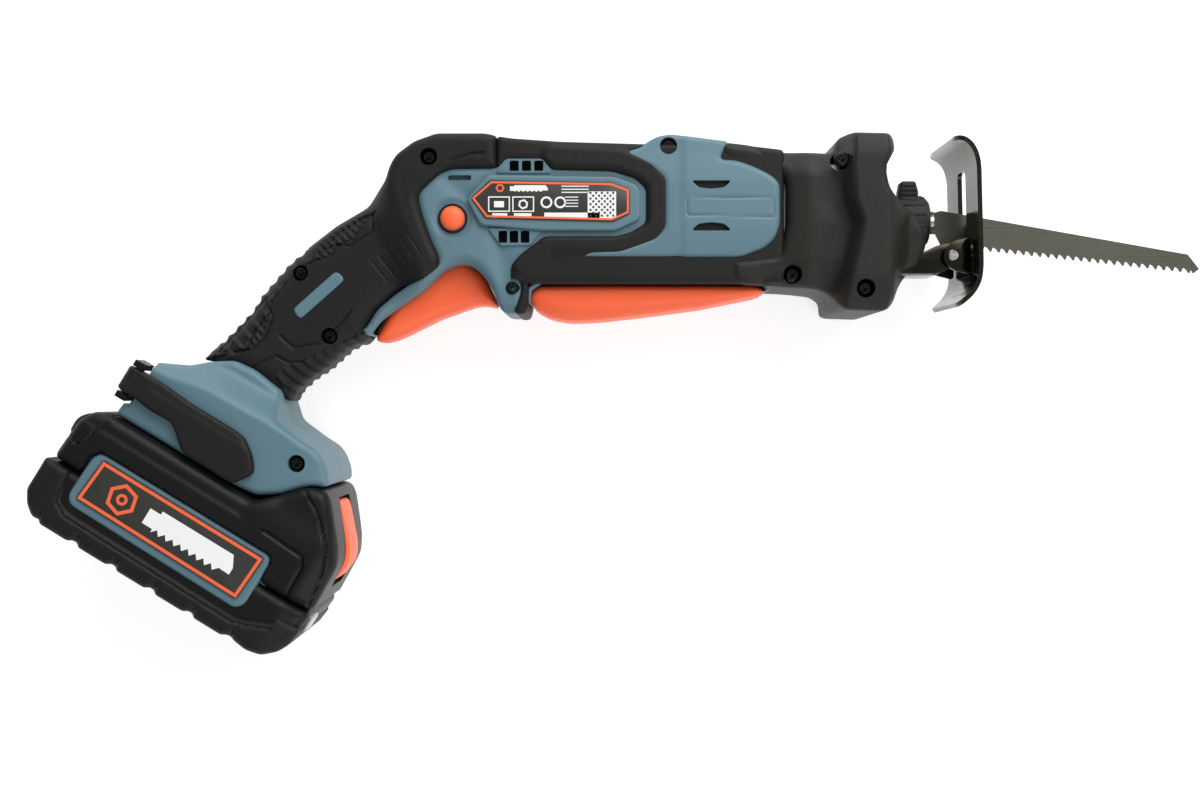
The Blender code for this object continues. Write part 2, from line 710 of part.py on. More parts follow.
def coil(name, start, way, length, radius, wire, turns, slot, sides=6, per_turn=10):
    """A round spring from a start point along a direction."""
    way = way.normalized()
    across = way.orthogonal().normalized()
    third = way.cross(across)
    work = bmesh.new()
    rings = []
    total = int(turns * per_turn)
    for k in range(total + 1):
        angle = 2 * math.pi * k / per_turn
        reach = wire + (length - 2 * wire) * k / total
        out = across * math.cos(angle) + third * math.sin(angle)
        centre = start + way * reach + out * radius
        ring = []
        for s in range(sides):
            turn = 2 * math.pi * s / sides
            ring.append(
                work.verts.new((centre + out * wire * math.cos(turn) + way * wire * math.sin(turn)) * mm)
            )
        rings.append(ring)
    for first, second in zip(rings, rings[1:]):
        for s in range(sides):
            n = (s + 1) % sides
            work.faces.new((first[s], first[n], second[n], second[s]))
    work.faces.new(rings[0])
    work.faces.new(list(reversed(rings[-1])))
    return finish(name, work, slot, True)


coil("trigger_spring", spring_foot - trigger_way * 3.6, trigger_way, 12.6, 2.4, 0.4, 5, "steel")

lock_profile = [(-26.5, 0), (-26.5, 4.2), (-25.5, 5.0), (25.5, 5.0), (28.0, 3.6), (28.0, 0)]
lathe("lock_off_button", lock_profile, "orange", 24, (-62.5, 77, 0), "Z")

controller = block("controller_board", (-56.0, 62.5, -15), (-46.0, 68.0, 15), "circuit_board")

# wires
def wire(name, points, radius, slot, sides=8):
    work = bmesh.new()
    rings = []
    points = [Vector(p) for p in points]
    for k, point in enumerate(points):
        way = (points[min(k + 1, len(points) - 1)] - points[max(k - 1, 0)]).normalized()
        across = way.cross(Vector((0, 0, 1))).normalized()
        third = way.cross(across)
        rings.append([
            work.verts.new((point + (across * math.cos(t) + third * math.sin(t)) * radius) * mm)
            for t in [2 * math.pi * s / sides for s in range(sides)]
        ])
    for first, second in zip(rings, rings[1:]):
        for s in range(sides):
            n = (s + 1) % sides
            work.faces.new((first[s], first[n], second[n], second[s]))
    work.faces.new(rings[0])
    work.faces.new(list(reversed(rings[-1])))
    return finish(name, work, slot, True)


lead = [(-106.5, 60, 0), (-113, 52, 0), (-128, 36, 0), (-140, 22, 0), (-144, 16.5, 0)]
wire("power_lead_red", [(x, y, 4.5) for x, y, z in lead], 1.3, "red_wire")
wire("power_lead_black", [(x, y, -4.5) for x, y, z in lead], 1.3, "black_rubber")

# foot: terminal block and hang hook
pack_block("terminal_block", (-28, -11.7, -13.5), (8, -8.2, 13.5), "black_plastic")
hook_z = foot_half_width + 0.6
hook_outline = [
    (
        -45.5, -10.5,
    ), (
        -47.0, -22.0,
    ), (-38.0, -22.0), (-25.0, -21.0), (-3.0, -21.0), (2.0, -20.5), (8.5, -16.0), (12.5, -11.0),
    (12.5, -8.5), (7.5, -1.2), (-17.0, -1.7), (-22.5, -6.5), (-27.0, -10.0), (-37.5, -9.5),
]
hook = prism(
    "hang_hook", in_pack(rounded(hook_outline, 2)), hook_z, hook_z + 4.6, "black_plastic", 1.5, "both", 1,
)
hook_axis_a, hook_axis_z = -50.6, hook_z + 0.6
knuckle_start = pack_origin + along * hook_axis_a + down * -21.4 + Vector((0, 0, hook_axis_z))
knuckle = lathe(
    "knuckle", [(0, 0), (0, 4.0), (10.6, 4.0), (10.6, 0)], "black_plastic", 20, knuckle_start, down,
)
bridge = pack_block("bridge", (hook_axis_a, -21.3, hook_z), (-44, -10.9, hook_z + 4.4))
join(hook, knuckle, bridge)
cut(
    hook,
    lathe(
        "bore", [(-5, 0), (-5, 1.6 + running), (20, 1.6 + running), (20, 0)], "steel", 16, knuckle_start,
        down,
    ),
)
hook_joint = pack_origin + along * hook_axis_a + down * -16 + Vector((0, 0, hook_axis_z))
hinge_at(hook, hook_joint)
lathe("hook_pin", [(-3.2, 0), (-3.2, 1.6), (13.8, 1.6), (13.8, 0)], "steel", 16, knuckle_start, down)
hook_bracket = pack_block(
    "hook_bracket", (-53.0, -24.8, hook_axis_z - 9), (-50.8, -7.4, hook_axis_z - 4.6), "steel",
)
for b in (-24.8, -10.0):
    join(
        hook_bracket,
        pack_block("lug", (-53.2, b, hook_axis_z - 9.5), (-48.6, b + 2.6, hook_axis_z + 3.0), "steel"),
    )
cut(
    hook_bracket,
    lathe("bore", [(-10, 0), (-10, 1.6 + gap), (20, 1.6 + gap), (20, 0)], "steel", 16, knuckle_start, down),
)
fit_room = pack_block("room", (-56, -26.5, hook_axis_z - 10), (-46.4, -5.8, hook_axis_z + 12))
cut(housing_right, fit_room)

# battery pack
end_a = pack_length / 2
split_b = 28.0
shell_half = pack_half_width
upper_outline = [
    (
        -end_a + 1, 4.0,
    ), (-end_a + 4, 0.2), (19.0, 0.2), (27.0, -4.8), (36.0, -14.6), (42.5, -18.0), (46.0, -16.5),
    (end_a - 3, -1.0), (end_a + 0.8, 6.0), (end_a + 1.8, split_b - 0.3), (-end_a, split_b - 0.3),
]
button_outline = [
    (41.8, -12.0), (47.0, -15.0), (50.0, -12.5), (62.5, 0.5), (64.0, 7.0), (63.2, 15.2), (58.0, 15.2),
    (58.0, 4.5), (54.0, -1.0),
]
release_way = Vector((-0.55, 0.84)).normalized()
release_travel = 3.0
upper = prism(
    "pack_upper", in_pack(upper_outline), -shell_half, shell_half, "black_plastic", 3.0, "both", 2,
)
join(
    upper,
    pack_block("stem", (-45, -3.2, -rail_half + 4.2), (22, 2.0, rail_half - 4.2)),
    pack_block("head", (-45, -7.0, -rail_half), (22, -3.1, rail_half)),
)
inside = [
    (-end_a + 4, 3.4), (22.0, 3.4), (38.0, -8.0), (43.0, -9.0), (end_a - 5, 6.0), (end_a - 3, 40.0),
    (-end_a + 4, 40.0),
]
cut(
    upper,
    prism("space", in_pack(inside), -shell_half + 3.2, shell_half - 3.2),
    prism(
        "button",
        in_pack(
            [
                (41.0, -12.4), (49.5, -19.5), (69.0, 1.5), (69.0, 16.4), (52.0, 16.4), (48.0, 4.0),
                (41.4, -8.4),
            ]
        ),
        -12.4, 12.4,
    ),
)
for share in (0.5, 1.0):
    pressed = moved(button_outline, release_way * release_travel * share)
    cut(upper, prism("pressed", in_pack(grow(pressed, 0.6)), -12.6, 12.6))
lower_outline = [
    (-end_a, split_b + 0.3), (end_a + 1.8, split_b + 0.3), (end_a, 44.0), (end_a - 8, pack_depth - 3),
    (-end_a + 5, pack_depth - 3), (-end_a, 48.0),
]
bumper_z = shell_half - 2.0
lower = prism("pack_lower", in_pack(lower_outline), -bumper_z, bumper_z, "black_plastic", 4.0, "both", 2)
cut(
    lower,
    prism(
        "space",
        in_pack(
            [
                (-end_a + 4, 20), (end_a - 3, 20), (end_a - 4, 42), (end_a - 10, pack_depth - 6),
                (-end_a + 8, pack_depth - 6), (-end_a + 4, 46),
            ]
        ),
        -bumper_z + 2.6, bumper_z - 2.6,
    ),
)
bumper_outline = [(-end_a - 2.5, 34.0), (-end_a - 2.5, 46.0), (-end_a + 3, pack_depth - 1.0)]
scallops = 5
for k in range(scallops):
    start = -end_a + 8 + (pack_length - 30) * k / scallops
    step = (pack_length - 30) / scallops
    bumper_outline += [
        (start, pack_depth - 1.0), (start + 1.5, pack_depth), (start + step - 3.5, pack_depth),
        (start + step - 2.0, pack_depth - 1.4),
    ]
bumper_outline += [
    (end_a - 14, pack_depth), (end_a - 6, pack_depth - 1.0), (end_a + 0.5, 46.0), (end_a + 1.8, 42.0),
    (52.0, 42.0), (42.0, 44.5), (-46.0, 43.0), (-52.0, 34.0),
]
bumper = prism(
    "pack_bumper", in_pack(bumper_outline), -shell_half, shell_half, "black_rubber", 1.2, "both", 1,
)
fit_lower = prism(
    "fit", in_pack(grow([(a, b) for a, b in lower_outline], gap)), -bumper_z - gap, bumper_z + gap,
    "black_plastic", 4.0, "both", 2,
)
cut(bumper, fit_lower)

trim_outline = [(-51.5, 15.5), (-48.5, 40.5), (-44.0, 42.0), (36.5, 42.5), (40.5, 39.0), (40.5, 15.5)]
label_plate = [(-43.0, 17.5), (35.5, 17.5), (34.5, 38.5), (-44.5, 37.5)]
trim_low = shell_half - 3.0
for side in (1, -1):
    word = "right" if side == 1 else "left"
    room = sorted((side * (trim_low - gap), side * 50))
    cut(upper, prism("room", in_pack(grow(trim_outline, gap)), room[0], room[1]))
    cut(lower, prism("room", in_pack(grow(trim_outline, gap)), room[0], room[1]))
    cut(bumper, prism("room", in_pack(grow(trim_outline, gap)), room[0], room[1]))
    ends = sorted((side * trim_low, side * (shell_half - 1.1)))
    prism("pack_trim_" + word, in_pack(trim_outline), ends[0], ends[1], "slate_blue")
    ends = sorted((side * (shell_half - 0.8), side * shell_half))
    prism("pack_label_" + word, in_pack(label_plate), ends[0], ends[1], "label_grey")

release = prism("release_button", in_pack(button_outline), -12.0, 12.0, "orange", 1.5, "both", 1)
board = pack_block("pack_board", (-50, 4.3, -24), (18, 5.9, 24), "circuit_board")
columns = 5
cell_pitch = 2 * cell_radius + 1.0  # the cells stand apart in their holder
for row, word in enumerate(("upper", "lower")):
    cells = []
    for column in range(columns):
        a = (column - (columns - 1) / 2) * cell_pitch - 3.5
        b = 16.4 + row * (2 * cell_radius + 0.6)
        centre = pack_origin + along * a + down * b
        half = cell_length / 2
        cells.append(lathe(
            "cell_row_" + word, [
                (-half, 0), (-half, cell_radius), (half, cell_radius), (half, 0),
            ], "cell_wrap", 20, centre, "Z"
        ))
    for end in (-cell_length / 2 + 1.0, cell_length / 2 - 4.0):
        a = -3.5
        b = 16.4 + row * (2 * cell_radius + 0.6)
        cells.append(
            pack_block(
                "holder", (a - 2 * cell_pitch, b - 4, end), (a + 2 * cell_pitch, b + 4, end + 3),
                "black_plastic",
            )
        )
    joined = join(cells[0], *cells[1:])
    joined.name = "cell_row_" + word
gauge = pack_block("gauge_button", (end_a - 6.0, 31.5, 6), (end_a + 2.4, 39.5, 26), "clear_lens")
cut(lower, pack_block("window", (end_a - 10, 31.0, 5.5), (end_a + 10, 40.0, 26.5)))

# screws
nose_screw = nose_half_width - 2 - screw_end_z
screw_spots = {
    "screw_nose_top": (101.0, 100.5, nose_half_width - 2, nose_screw),
    "screw_nose_rear": (81.5, 53.2, nose_half_width - 2, nose_screw),
    "screw_nose_front": (110.5, 46.5, nose_half_width - 2, nose_screw),
    "screw_body_rear": (-72.5, 103.0, body_half_width, 16),
    "screw_post": (-37.0, 47.5, body_half_width - 1, 14),
    "screw_body_front": (29.0, 107.5, cover_half_width - 4, 16),
    "screw_grip_rear": (-128.5, 54.5, grip_half_width - 3, 14),
    "screw_grip_front": (-116.0, 27.5, grip_half_width - 3, 14),
}
foot_spot = in_pack([(25.5, -22.0)])[0]
screw_spots["screw_foot"] = (foot_spot[0], foot_spot[1], foot_half_width - 2, 18)
shells = {
    "screw_nose": (nose_right,),
    "screw_body": (housing_right, grip_rubber_right, band_right),
    "screw_post": (housing_right, band_right),
    "screw_grip": (housing_right, grip_rubber_right),
    "screw_foot": (housing_right,),
}
for name, (x, y, top, length) in screw_spots.items():
    profile = [
        (top - length, 0), (top - length, screw_radius), (top - 2.6, screw_radius),
        (top - 2.6, screw_head_radius), (top - 0.6, screw_head_radius), (top, screw_head_radius - 0.6),
        (top, 1.4), (top - 1.2, 1.2), (top - 1.2, 0),
    ]
    lathe(name, profile, "steel", 14, (x, y, 0), "Z")
    family = "_".join(name.split("_")[:2])
    room = [
        (top - length - 0.5, 0), (top - length - 0.5, screw_radius + gap), (top - 2.9, screw_radius + gap),
        (top - 2.9, screw_head_radius + 0.6), (60, screw_head_radius + 0.6), (60, 0),
    ]
    well = [(4.0, 0), (4.0, screw_head_radius + 0.6), (60, screw_head_radius + 0.6), (60, 0)]
    for shell in shells[family]:
        shape = well if "rubber" in shell.name or "band" in shell.name else room
        cut(shell, lathe("room", shape, "steel", 14, (x, y, 0), "Z"))

# place on the ground, centred
low = Vector((1e9, 1e9, 1e9))
high = -low
for thing in bpy.data.objects:
    for corner in thing.data.vertices:
        point = thing.matrix_basis @ corner.co
        low = Vector(map(min, low, point))
        high = Vector(map(max, high, point))
shift = Vector((-(low.x + high.x) / 2, -(low.y + high.y) / 2, -low.z))
for thing in bpy.data.objects:
    thing.location += shift
print(
    "shift", tuple(round(v * 1000, 4) for v in shift), "size",
    tuple(round(v * 1000, 2) for v in high - low),
)
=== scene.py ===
# Looks of a compact cordless reciprocating saw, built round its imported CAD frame.
# Lengths are millimetres on the tool's own centre lines: x along the stroke, y to the top, z off the
# mid-plane.
import json
import math

import bmesh
import bpy
import numpy as np
from mathutils import Matrix, Vector
from mathutils.geometry import delaunay_2d_cdt

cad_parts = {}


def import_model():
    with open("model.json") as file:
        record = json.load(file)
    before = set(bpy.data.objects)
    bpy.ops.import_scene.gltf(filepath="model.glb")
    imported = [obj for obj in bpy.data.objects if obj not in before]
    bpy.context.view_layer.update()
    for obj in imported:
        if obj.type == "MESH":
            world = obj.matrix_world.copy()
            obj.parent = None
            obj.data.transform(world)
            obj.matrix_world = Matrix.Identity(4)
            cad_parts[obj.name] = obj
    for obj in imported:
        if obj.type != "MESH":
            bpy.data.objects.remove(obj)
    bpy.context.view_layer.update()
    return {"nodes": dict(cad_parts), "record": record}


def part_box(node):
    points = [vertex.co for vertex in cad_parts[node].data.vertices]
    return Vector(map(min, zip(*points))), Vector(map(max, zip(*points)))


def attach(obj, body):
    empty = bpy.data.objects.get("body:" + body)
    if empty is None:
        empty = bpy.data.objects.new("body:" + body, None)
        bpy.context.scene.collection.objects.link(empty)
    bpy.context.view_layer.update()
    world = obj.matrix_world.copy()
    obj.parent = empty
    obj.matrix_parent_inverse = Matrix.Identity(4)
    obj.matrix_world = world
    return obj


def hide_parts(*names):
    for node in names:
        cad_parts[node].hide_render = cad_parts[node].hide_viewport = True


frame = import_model()
scene = bpy.context.scene
mm = 0.001

# where the tool's centre lines lie, from the blade's tip, back edge and thickness
bladeLow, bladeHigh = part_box("blade")
bladeReach = {"tip": 263.5, "back": 83.2}
zero = Vector((
    bladeHigh[0] - bladeReach["tip"] * mm,
    bladeHigh[1] - bladeReach["back"] * mm,
    (bladeLow[2] + bladeHigh[2]) / 2,
))
jointRows = {row["name"]: row for row in frame["record"]["behaviour"]["joints"]}
packAlong = Vector(jointRows["battery_slide"]["axis"])
packDown = Vector((packAlong.y, -packAlong.x, 0.0))
packZero = Vector((-160.3, -32.1, 0.0))
axisY = 78.0  # motor and plunger


def world(x, y, z=0.0):
    return Vector((zero.x + x * mm, zero.y + y * mm, zero.z + z * mm))


def inPack(points):  # points along and down the pack, as x and y of the tool
    placed = [packZero + packAlong * a + packDown * b for a, b in points]
    return [(p.x, p.y) for p in placed]


def packCoords(pts):  # x and y of the tool, as distances along and down the pack
    flat = pts - np.array(packZero)[:2]
    return flat @ np.array(packAlong)[:2], flat @ np.array(packDown)[:2]


# outlines, distances and heights


def leftTurning(points):
    pts = np.asarray(points, float)
    after = np.roll(pts, -1, axis=0)
    area = (pts[:, 0] * after[:, 1] - after[:, 0] * pts[:, 1]).sum()
    return pts if area > 0 else pts[::-1]


def evenLoop(points, corner=2.0, spacing=1.0):  # a closed outline with rounded corners and even steps
    pts = leftTurning(points)
    curve = []
    for i, now in enumerate(pts):
        before, after = pts[i - 1], pts[(i + 1) % len(pts)]
        back = min(corner, np.linalg.norm(before - now) * 0.48)
        ahead = min(corner, np.linalg.norm(after - now) * 0.48)
        start = now + (before - now) / np.linalg.norm(before - now) * back
        end = now + (after - now) / np.linalg.norm(after - now) * ahead
        for t in np.linspace(0, 1, 7):
            curve.append((1 - t) ** 2 * start + 2 * t * (1 - t) * now + t * t * end)
    curve = np.array(curve + [curve[0]])
    steps = np.concatenate([[0], np.cumsum(np.linalg.norm(np.diff(curve, axis=0), axis=1))])
    count = max(12, int(steps[-1] / spacing))
    where = np.linspace(0, steps[-1], count, endpoint=False)
    return np.column_stack([np.interp(where, steps, curve[:, k]) for k in (0, 1)])


def pathDistance(pts, path, closed=False):
    path = np.asarray(path, float)
    best = np.full(len(pts), 1e9)
    last = len(path) if closed else len(path) - 1
    for i in range(last):
        a, b = path[i], path[(i + 1) % len(path)]
        way = b - a
        t = np.clip(((pts - a) @ way) / max(way @ way, 1e-12), 0, 1)
        best = np.minimum(best, np.hypot(pts[:, 0] - a[0] - t * way[0], pts[:, 1] - a[1] - t * way[1]))
    return best


def within(pts, loop):
    loop = np.asarray(loop, float)
    x, y = pts[:, 0], pts[:, 1]
    inside = np.zeros(len(pts), bool)
    for i in range(len(loop)):
        (ax, ay), (bx, by) = loop[i - 1], loop[i]
        crosses = (ay > y) != (by > y)
        rise = by - ay if abs(by - ay) > 1e-9 else 1e-9
        inside ^= crosses & (x < (bx - ax) * (y - ay) / rise + ax)
    return inside


def depthIn(pts, loop):  # distance inside a closed outline, negative outside
    return np.where(within(pts, loop), 1, -1) * pathDistance(pts, loop, True)


def ease(t):
    t = np.clip(t, 0, 1)
    return t * t * (3 - 2 * t)


def edgeFall(depth, radius):  # how far a rounded edge lies below the face
    return radius * (1 - np.sqrt(np.clip(1 - (1 - np.clip(depth / radius, 0, 1)) ** 2, 0, 1)))


def flatAt(height):
    return lambda pts, depth: np.full(len(pts), height)


def roundedAt(height, radius):
    return lambda pts, depth: height - edgeFall(depth, radius)


def boxLoop(x0, y0, x1, y1):
    return [(x0, y0), (x1, y0), (x1, y1), (x0, y1)]


def groove(pts, path, width, depth):
    return -depth * ease(1 - pathDistance(pts, path) / (width / 2))


def plateau(pts, loop, height, slope):
    return height * ease(depthIn(pts, loop) / slope + 0.5)


# meshes


def meshObject(name, verts, faces, skin, smoothAngle=38):
    mesh = bpy.data.meshes.new(name)
    mesh.from_pydata([tuple(v) for v in verts], [], [tuple(int(i) for i in f) for f in faces])
    mesh.validate()
    mesh.materials.append(skin)
    made = bpy.data.objects.new(name, mesh)
    scene.collection.objects.link(made)
    shadeByAngle(made, smoothAngle)
    return made


def shadeByAngle(thing, smoothAngle=38):
    thing.data.polygons.foreach_set("use_smooth", [True] * len(thing.data.polygons))
    thing.data.set_sharp_from_angle(angle=math.radians(smoothAngle))


# gives a finished piece its body and hides the nodes it stands for
def settle(thing, body, slotName, *nodes):
    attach(thing, body)
    if nodes:
        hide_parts(*nodes)
    return thing


reliefSteps = {"rim": (0.12, 0.35, 0.7, 1.2, 1.9), "least": 0.25}


def reliefPiece(name, loop, topAt, baseAt, skin, spacing=0.9, both=False, smoothAngle=38):
    # a closed piece over an outline, its top and underside given as heights; both=True mirrors the top
    loop = leftTurning(loop)
    flat = [loop]
    along = np.roll(loop, -1, axis=0) - np.roll(loop, 1, axis=0)
    inward = np.column_stack([-along[:, 1], along[:, 0]]) / np.linalg.norm(along, axis=1)[:, None]
    for inset in reliefSteps["rim"]:
        ring = loop + inward * inset
        kept = depthIn(ring, loop) > 0.93 * inset
        flat.append(ring[kept])
    low, high = loop.min(axis=0), loop.max(axis=0)
    rows = np.arange(low[1], high[1], spacing * 0.87)
    cols = np.arange(low[0], high[0], spacing)
    gx, gy = np.meshgrid(cols, rows)
    gx = gx + spacing / 2 * (np.arange(len(rows)) % 2)[:, None]
    grid = np.column_stack([gx.ravel(), gy.ravel()])
    flat.append(grid[depthIn(grid, loop) > reliefSteps["rim"][-1] + 0.4 * spacing])
    flat = np.concatenate(flat)
    edge = list(range(len(loop)))
    verts, _, faces, _, _, _ = delaunay_2d_cdt([Vector(p) for p in flat], [], [edge], 1, 1e-6)
    pts = np.array([tuple(v) for v in verts])
    tris = np.array([f for f in faces if len(f) == 3])
    a, b, c = pts[tris[:, 0]], pts[tris[:, 1]], pts[tris[:, 2]]
    turned = (b[:, 0] - a[:, 0]) * (c[:, 1] - a[:, 1]) - (b[:, 1] - a[:, 1]) * (c[:, 0] - a[:, 0]) < 0
    tris[turned] = tris[turned][:, ::-1]
    depth = np.maximum(pathDistance(pts, loop, True), 0)
    depth[depth < 1e-4] = 0
    top = topAt(pts, depth)
    base = -top if both else np.minimum(baseAt(pts, depth), top - reliefSteps["least"])
    count = len(pts)
    verts = np.concatenate(
        [np.column_stack([pts, top]), np.column_stack([pts, base])]
    ) * mm + np.array(zero)
    ends = np.concatenate([tris[:, [0, 1]], tris[:, [1, 2]], tris[:, [2, 0]]])
    forward = set(map(tuple, ends))
    rim = [(i, j) for i, j in forward if (j, i) not in forward]
    walls = [(i, i + count, j + count, j) for i, j in rim]
    sides = tris.tolist() + (tris[:, ::-1] + count).tolist() + walls
    return meshObject(name, verts, sides, skin, smoothAngle)


def mirrorPiece(source, name):  # the same piece on the tool's other flank
    work = bmesh.new()
    work.from_mesh(source.data)
    turn = Matrix.Translation(zero) @ Matrix.Diagonal((1, 1, -1, 1)) @ Matrix.Translation(-zero)
    work.transform(turn)
    bmesh.ops.reverse_faces(work, faces=work.faces)
    mesh = bpy.data.meshes.new(name)
    work.to_mesh(mesh)
    work.free()
    for skin in source.data.materials:
        mesh.materials.append(skin)
    made = bpy.data.objects.new(name, mesh)
    scene.collection.objects.link(made)
    shadeByAngle(made)
    return made


def slabPiece(name, loop, low, high, skin, bevel=0.3, segments=2):  # a flat piece with rounded edges
    loop = leftTurning(loop)
    count = len(loop)
    verts = [world(x, y, low) for x, y in loop] + [world(x, y, high) for x, y in loop]
    faces = [list(range(count))[::-1], list(range(count, 2 * count))]
    faces += [(i, (i + 1) % count, (i + 1) % count + count, i + count) for i in range(count)]
    made = meshObject(name, verts, faces, skin)
    if bevel:
        rounding = made.modifiers.new("edge", "BEVEL")
        rounding.width = bevel * mm
        rounding.segments = segments
        rounding.limit_method = "ANGLE"
        rounding.angle_limit = math.radians(35)
        applyAll(made)
    return made


def turnedPiece(name, profile, skin, centre, way, segments=48, smoothAngle=38):
    # a profile of (distance, radius) turned round an axis through centre
    way = Vector(way).normalized()
    across = way.orthogonal().normalized()
    third = way.cross(across)
    centre = Vector(centre)
    verts, rings = [], []
    for reach, radius in profile:
        if radius < 1e-6:
            rings.append([len(verts)])
            verts.append(world(*(centre + way * reach)))
            continue
        rings.append(list(range(len(verts), len(verts) + segments)))
        for k in range(segments):
            angle = 2 * math.pi * k / segments
            verts.append(
                world(
                    *(centre + way * reach + (across * math.cos(angle) + third * math.sin(angle)) * radius)
                )
            )
    pairs = list(zip(rings, rings[1:]))
    if len(rings[0]) > 1:
        pairs.append((rings[-1], rings[0]))
    faces = []
    for first, second in pairs:
        for k in range(segments):
            n = (k + 1) % segments
            if len(first) == 1 and len(second) > 1:
                faces.append((first[0], second[k], second[n]))
            elif len(second) == 1 and len(first) > 1:
                faces.append((first[k], second[0], first[n]))
            elif len(first) > 1:
                faces.append((first[k], second[k], second[n], first[n]))
    made = meshObject(name, verts, faces, skin, smoothAngle)
    outward(made)
    return made


def well(x, y, radius, low=12, segments=28):  # cuts a round well up through the right flank
    profile = [(low, 0), (low, radius), (60, radius), (60, 0)]
    return turnedPiece("cutter", profile, skins["black"], (x, y, 0), (0, 0, 1), segments)


def bored(reach, radius, x, y):  # cuts a round hole across the tool
    profile = [(-reach, 0), (-reach, radius), (reach, radius), (reach, 0)]
    return turnedPiece("cutter", profile, skins["nickel"], (x, y, 0), (0, 0, 1), 32)


def standUp(piece, spot, degrees, axisName):  # turns a flat piece out of the tool's plane, at a spot
    turn = Matrix.Rotation(math.radians(degrees), 4, axisName)
    piece.data.transform(Matrix.Translation(spot) @ turn @ Matrix.Translation(-world(0, 0)))


def outward(thing):
    work = bmesh.new()
    work.from_mesh(thing.data)
    bmesh.ops.recalc_face_normals(work, faces=work.faces)
    work.to_mesh(thing.data)
    work.free()
    shadeByAngle(thing)


def applyAll(thing):
    graph = bpy.context.evaluated_depsgraph_get()
    shaped = bpy.data.meshes.new_from_object(thing.evaluated_get(graph))
    thing.modifiers.clear()
    thing.data = shaped
    shadeByAngle(thing)


def joined(name, pieces):
    work = bmesh.new()
    skin = pieces[0].data.materials[0]
    for piece in pieces:
        work.from_mesh(piece.data)
        bpy.data.objects.remove(piece)
    mesh = bpy.data.meshes.new(name)
    work.to_mesh(mesh)
    work.free()
    mesh.materials.append(skin)
    made = bpy.data.objects.new(name, mesh)
    scene.collection.objects.link(made)
    shadeByAngle(made)
    return made


def carve(target, cutters, operation="DIFFERENCE"):
    for cutter in cutters:
        fit = target.modifiers.new("cut", "BOOLEAN")
        fit.operation = operation
        fit.solver = "MANIFOLD"
        fit.object = cutter
    applyAll(target)
    for cutter in cutters:
        bpy.data.objects.remove(cutter)
    return target


# finishes, with three shared effects


def newGroup(name, inputs, outputs):
    tree = bpy.data.node_groups.new(name, "ShaderNodeTree")
    for label, kind, value in inputs:
        socket = tree.interface.new_socket(label, in_out="INPUT", socket_type=kind)
        socket.default_value = value
    for label, kind in outputs:
        tree.interface.new_socket(label, in_out="OUTPUT", socket_type=kind)
    return tree, tree.nodes.new("NodeGroupInput"), tree.nodes.new("NodeGroupOutput")


def link(tree, start, end):
    tree.links.new(start, end)


# a node with values set, then wires of (input, source)
def place(tree, kind, *wires, operation=None, **values):
    made = tree.nodes.new(kind)
    if operation:
        made.operation = operation
    for label, value in values.items():
        made.inputs[label.replace("_", " ")].default_value = value
    for label, source in wires:
        link(tree, source, made.inputs[label])
    return made


def noise(tree, coords, scale, detail=4.0, rough=0.55):
    made = place(tree, "ShaderNodeTexNoise", ("Vector", coords), Detail=detail, Roughness=rough)
    if isinstance(scale, (int, float)):
        made.inputs["Scale"].default_value = scale
    else:
        link(tree, scale, made.inputs["Scale"])
    return made


def mapRange(tree, value, low, high, toLow, toHigh):
    return place(
        tree, "ShaderNodeMapRange", ("Value", value), From_Min=low, From_Max=high, To_Min=toLow,
        To_Max=toHigh,
    )


def mouldGrainGroup():  # the fine pitted texture of an injection mould
    grain = {"waveScale": 60.0, "waveShare": 0.8, "height": 0.0004}
    tree, given, out = newGroup(
        "mouldGrain",
        [
            ("Coords", "NodeSocketVector", (0, 0, 0)), ("Scale", "NodeSocketFloat", 2200.0),
            ("Strength", "NodeSocketFloat", 0.15),
        ],
        [("Normal", "NodeSocketVector"), ("Pits", "NodeSocketFloat")],
    )
    pits = noise(tree, given.outputs["Coords"], given.outputs["Scale"], 2.0)
    waves = noise(tree, given.outputs["Coords"], grain["waveScale"], 2.0)
    mixed = place(
        tree, "ShaderNodeMath", (0, waves.outputs["Fac"]), (2, pits.outputs["Fac"]),
        operation="MULTIPLY_ADD",
    )
    mixed.inputs[1].default_value = grain["waveShare"]
    bump = place(
        tree, "ShaderNodeBump", ("Strength", given.outputs["Strength"]), ("Height", mixed.outputs[0]),
        Distance=grain["height"],
    )
    link(tree, bump.outputs["Normal"], out.inputs["Normal"])
    link(tree, pits.outputs["Fac"], out.inputs["Pits"])
    return tree


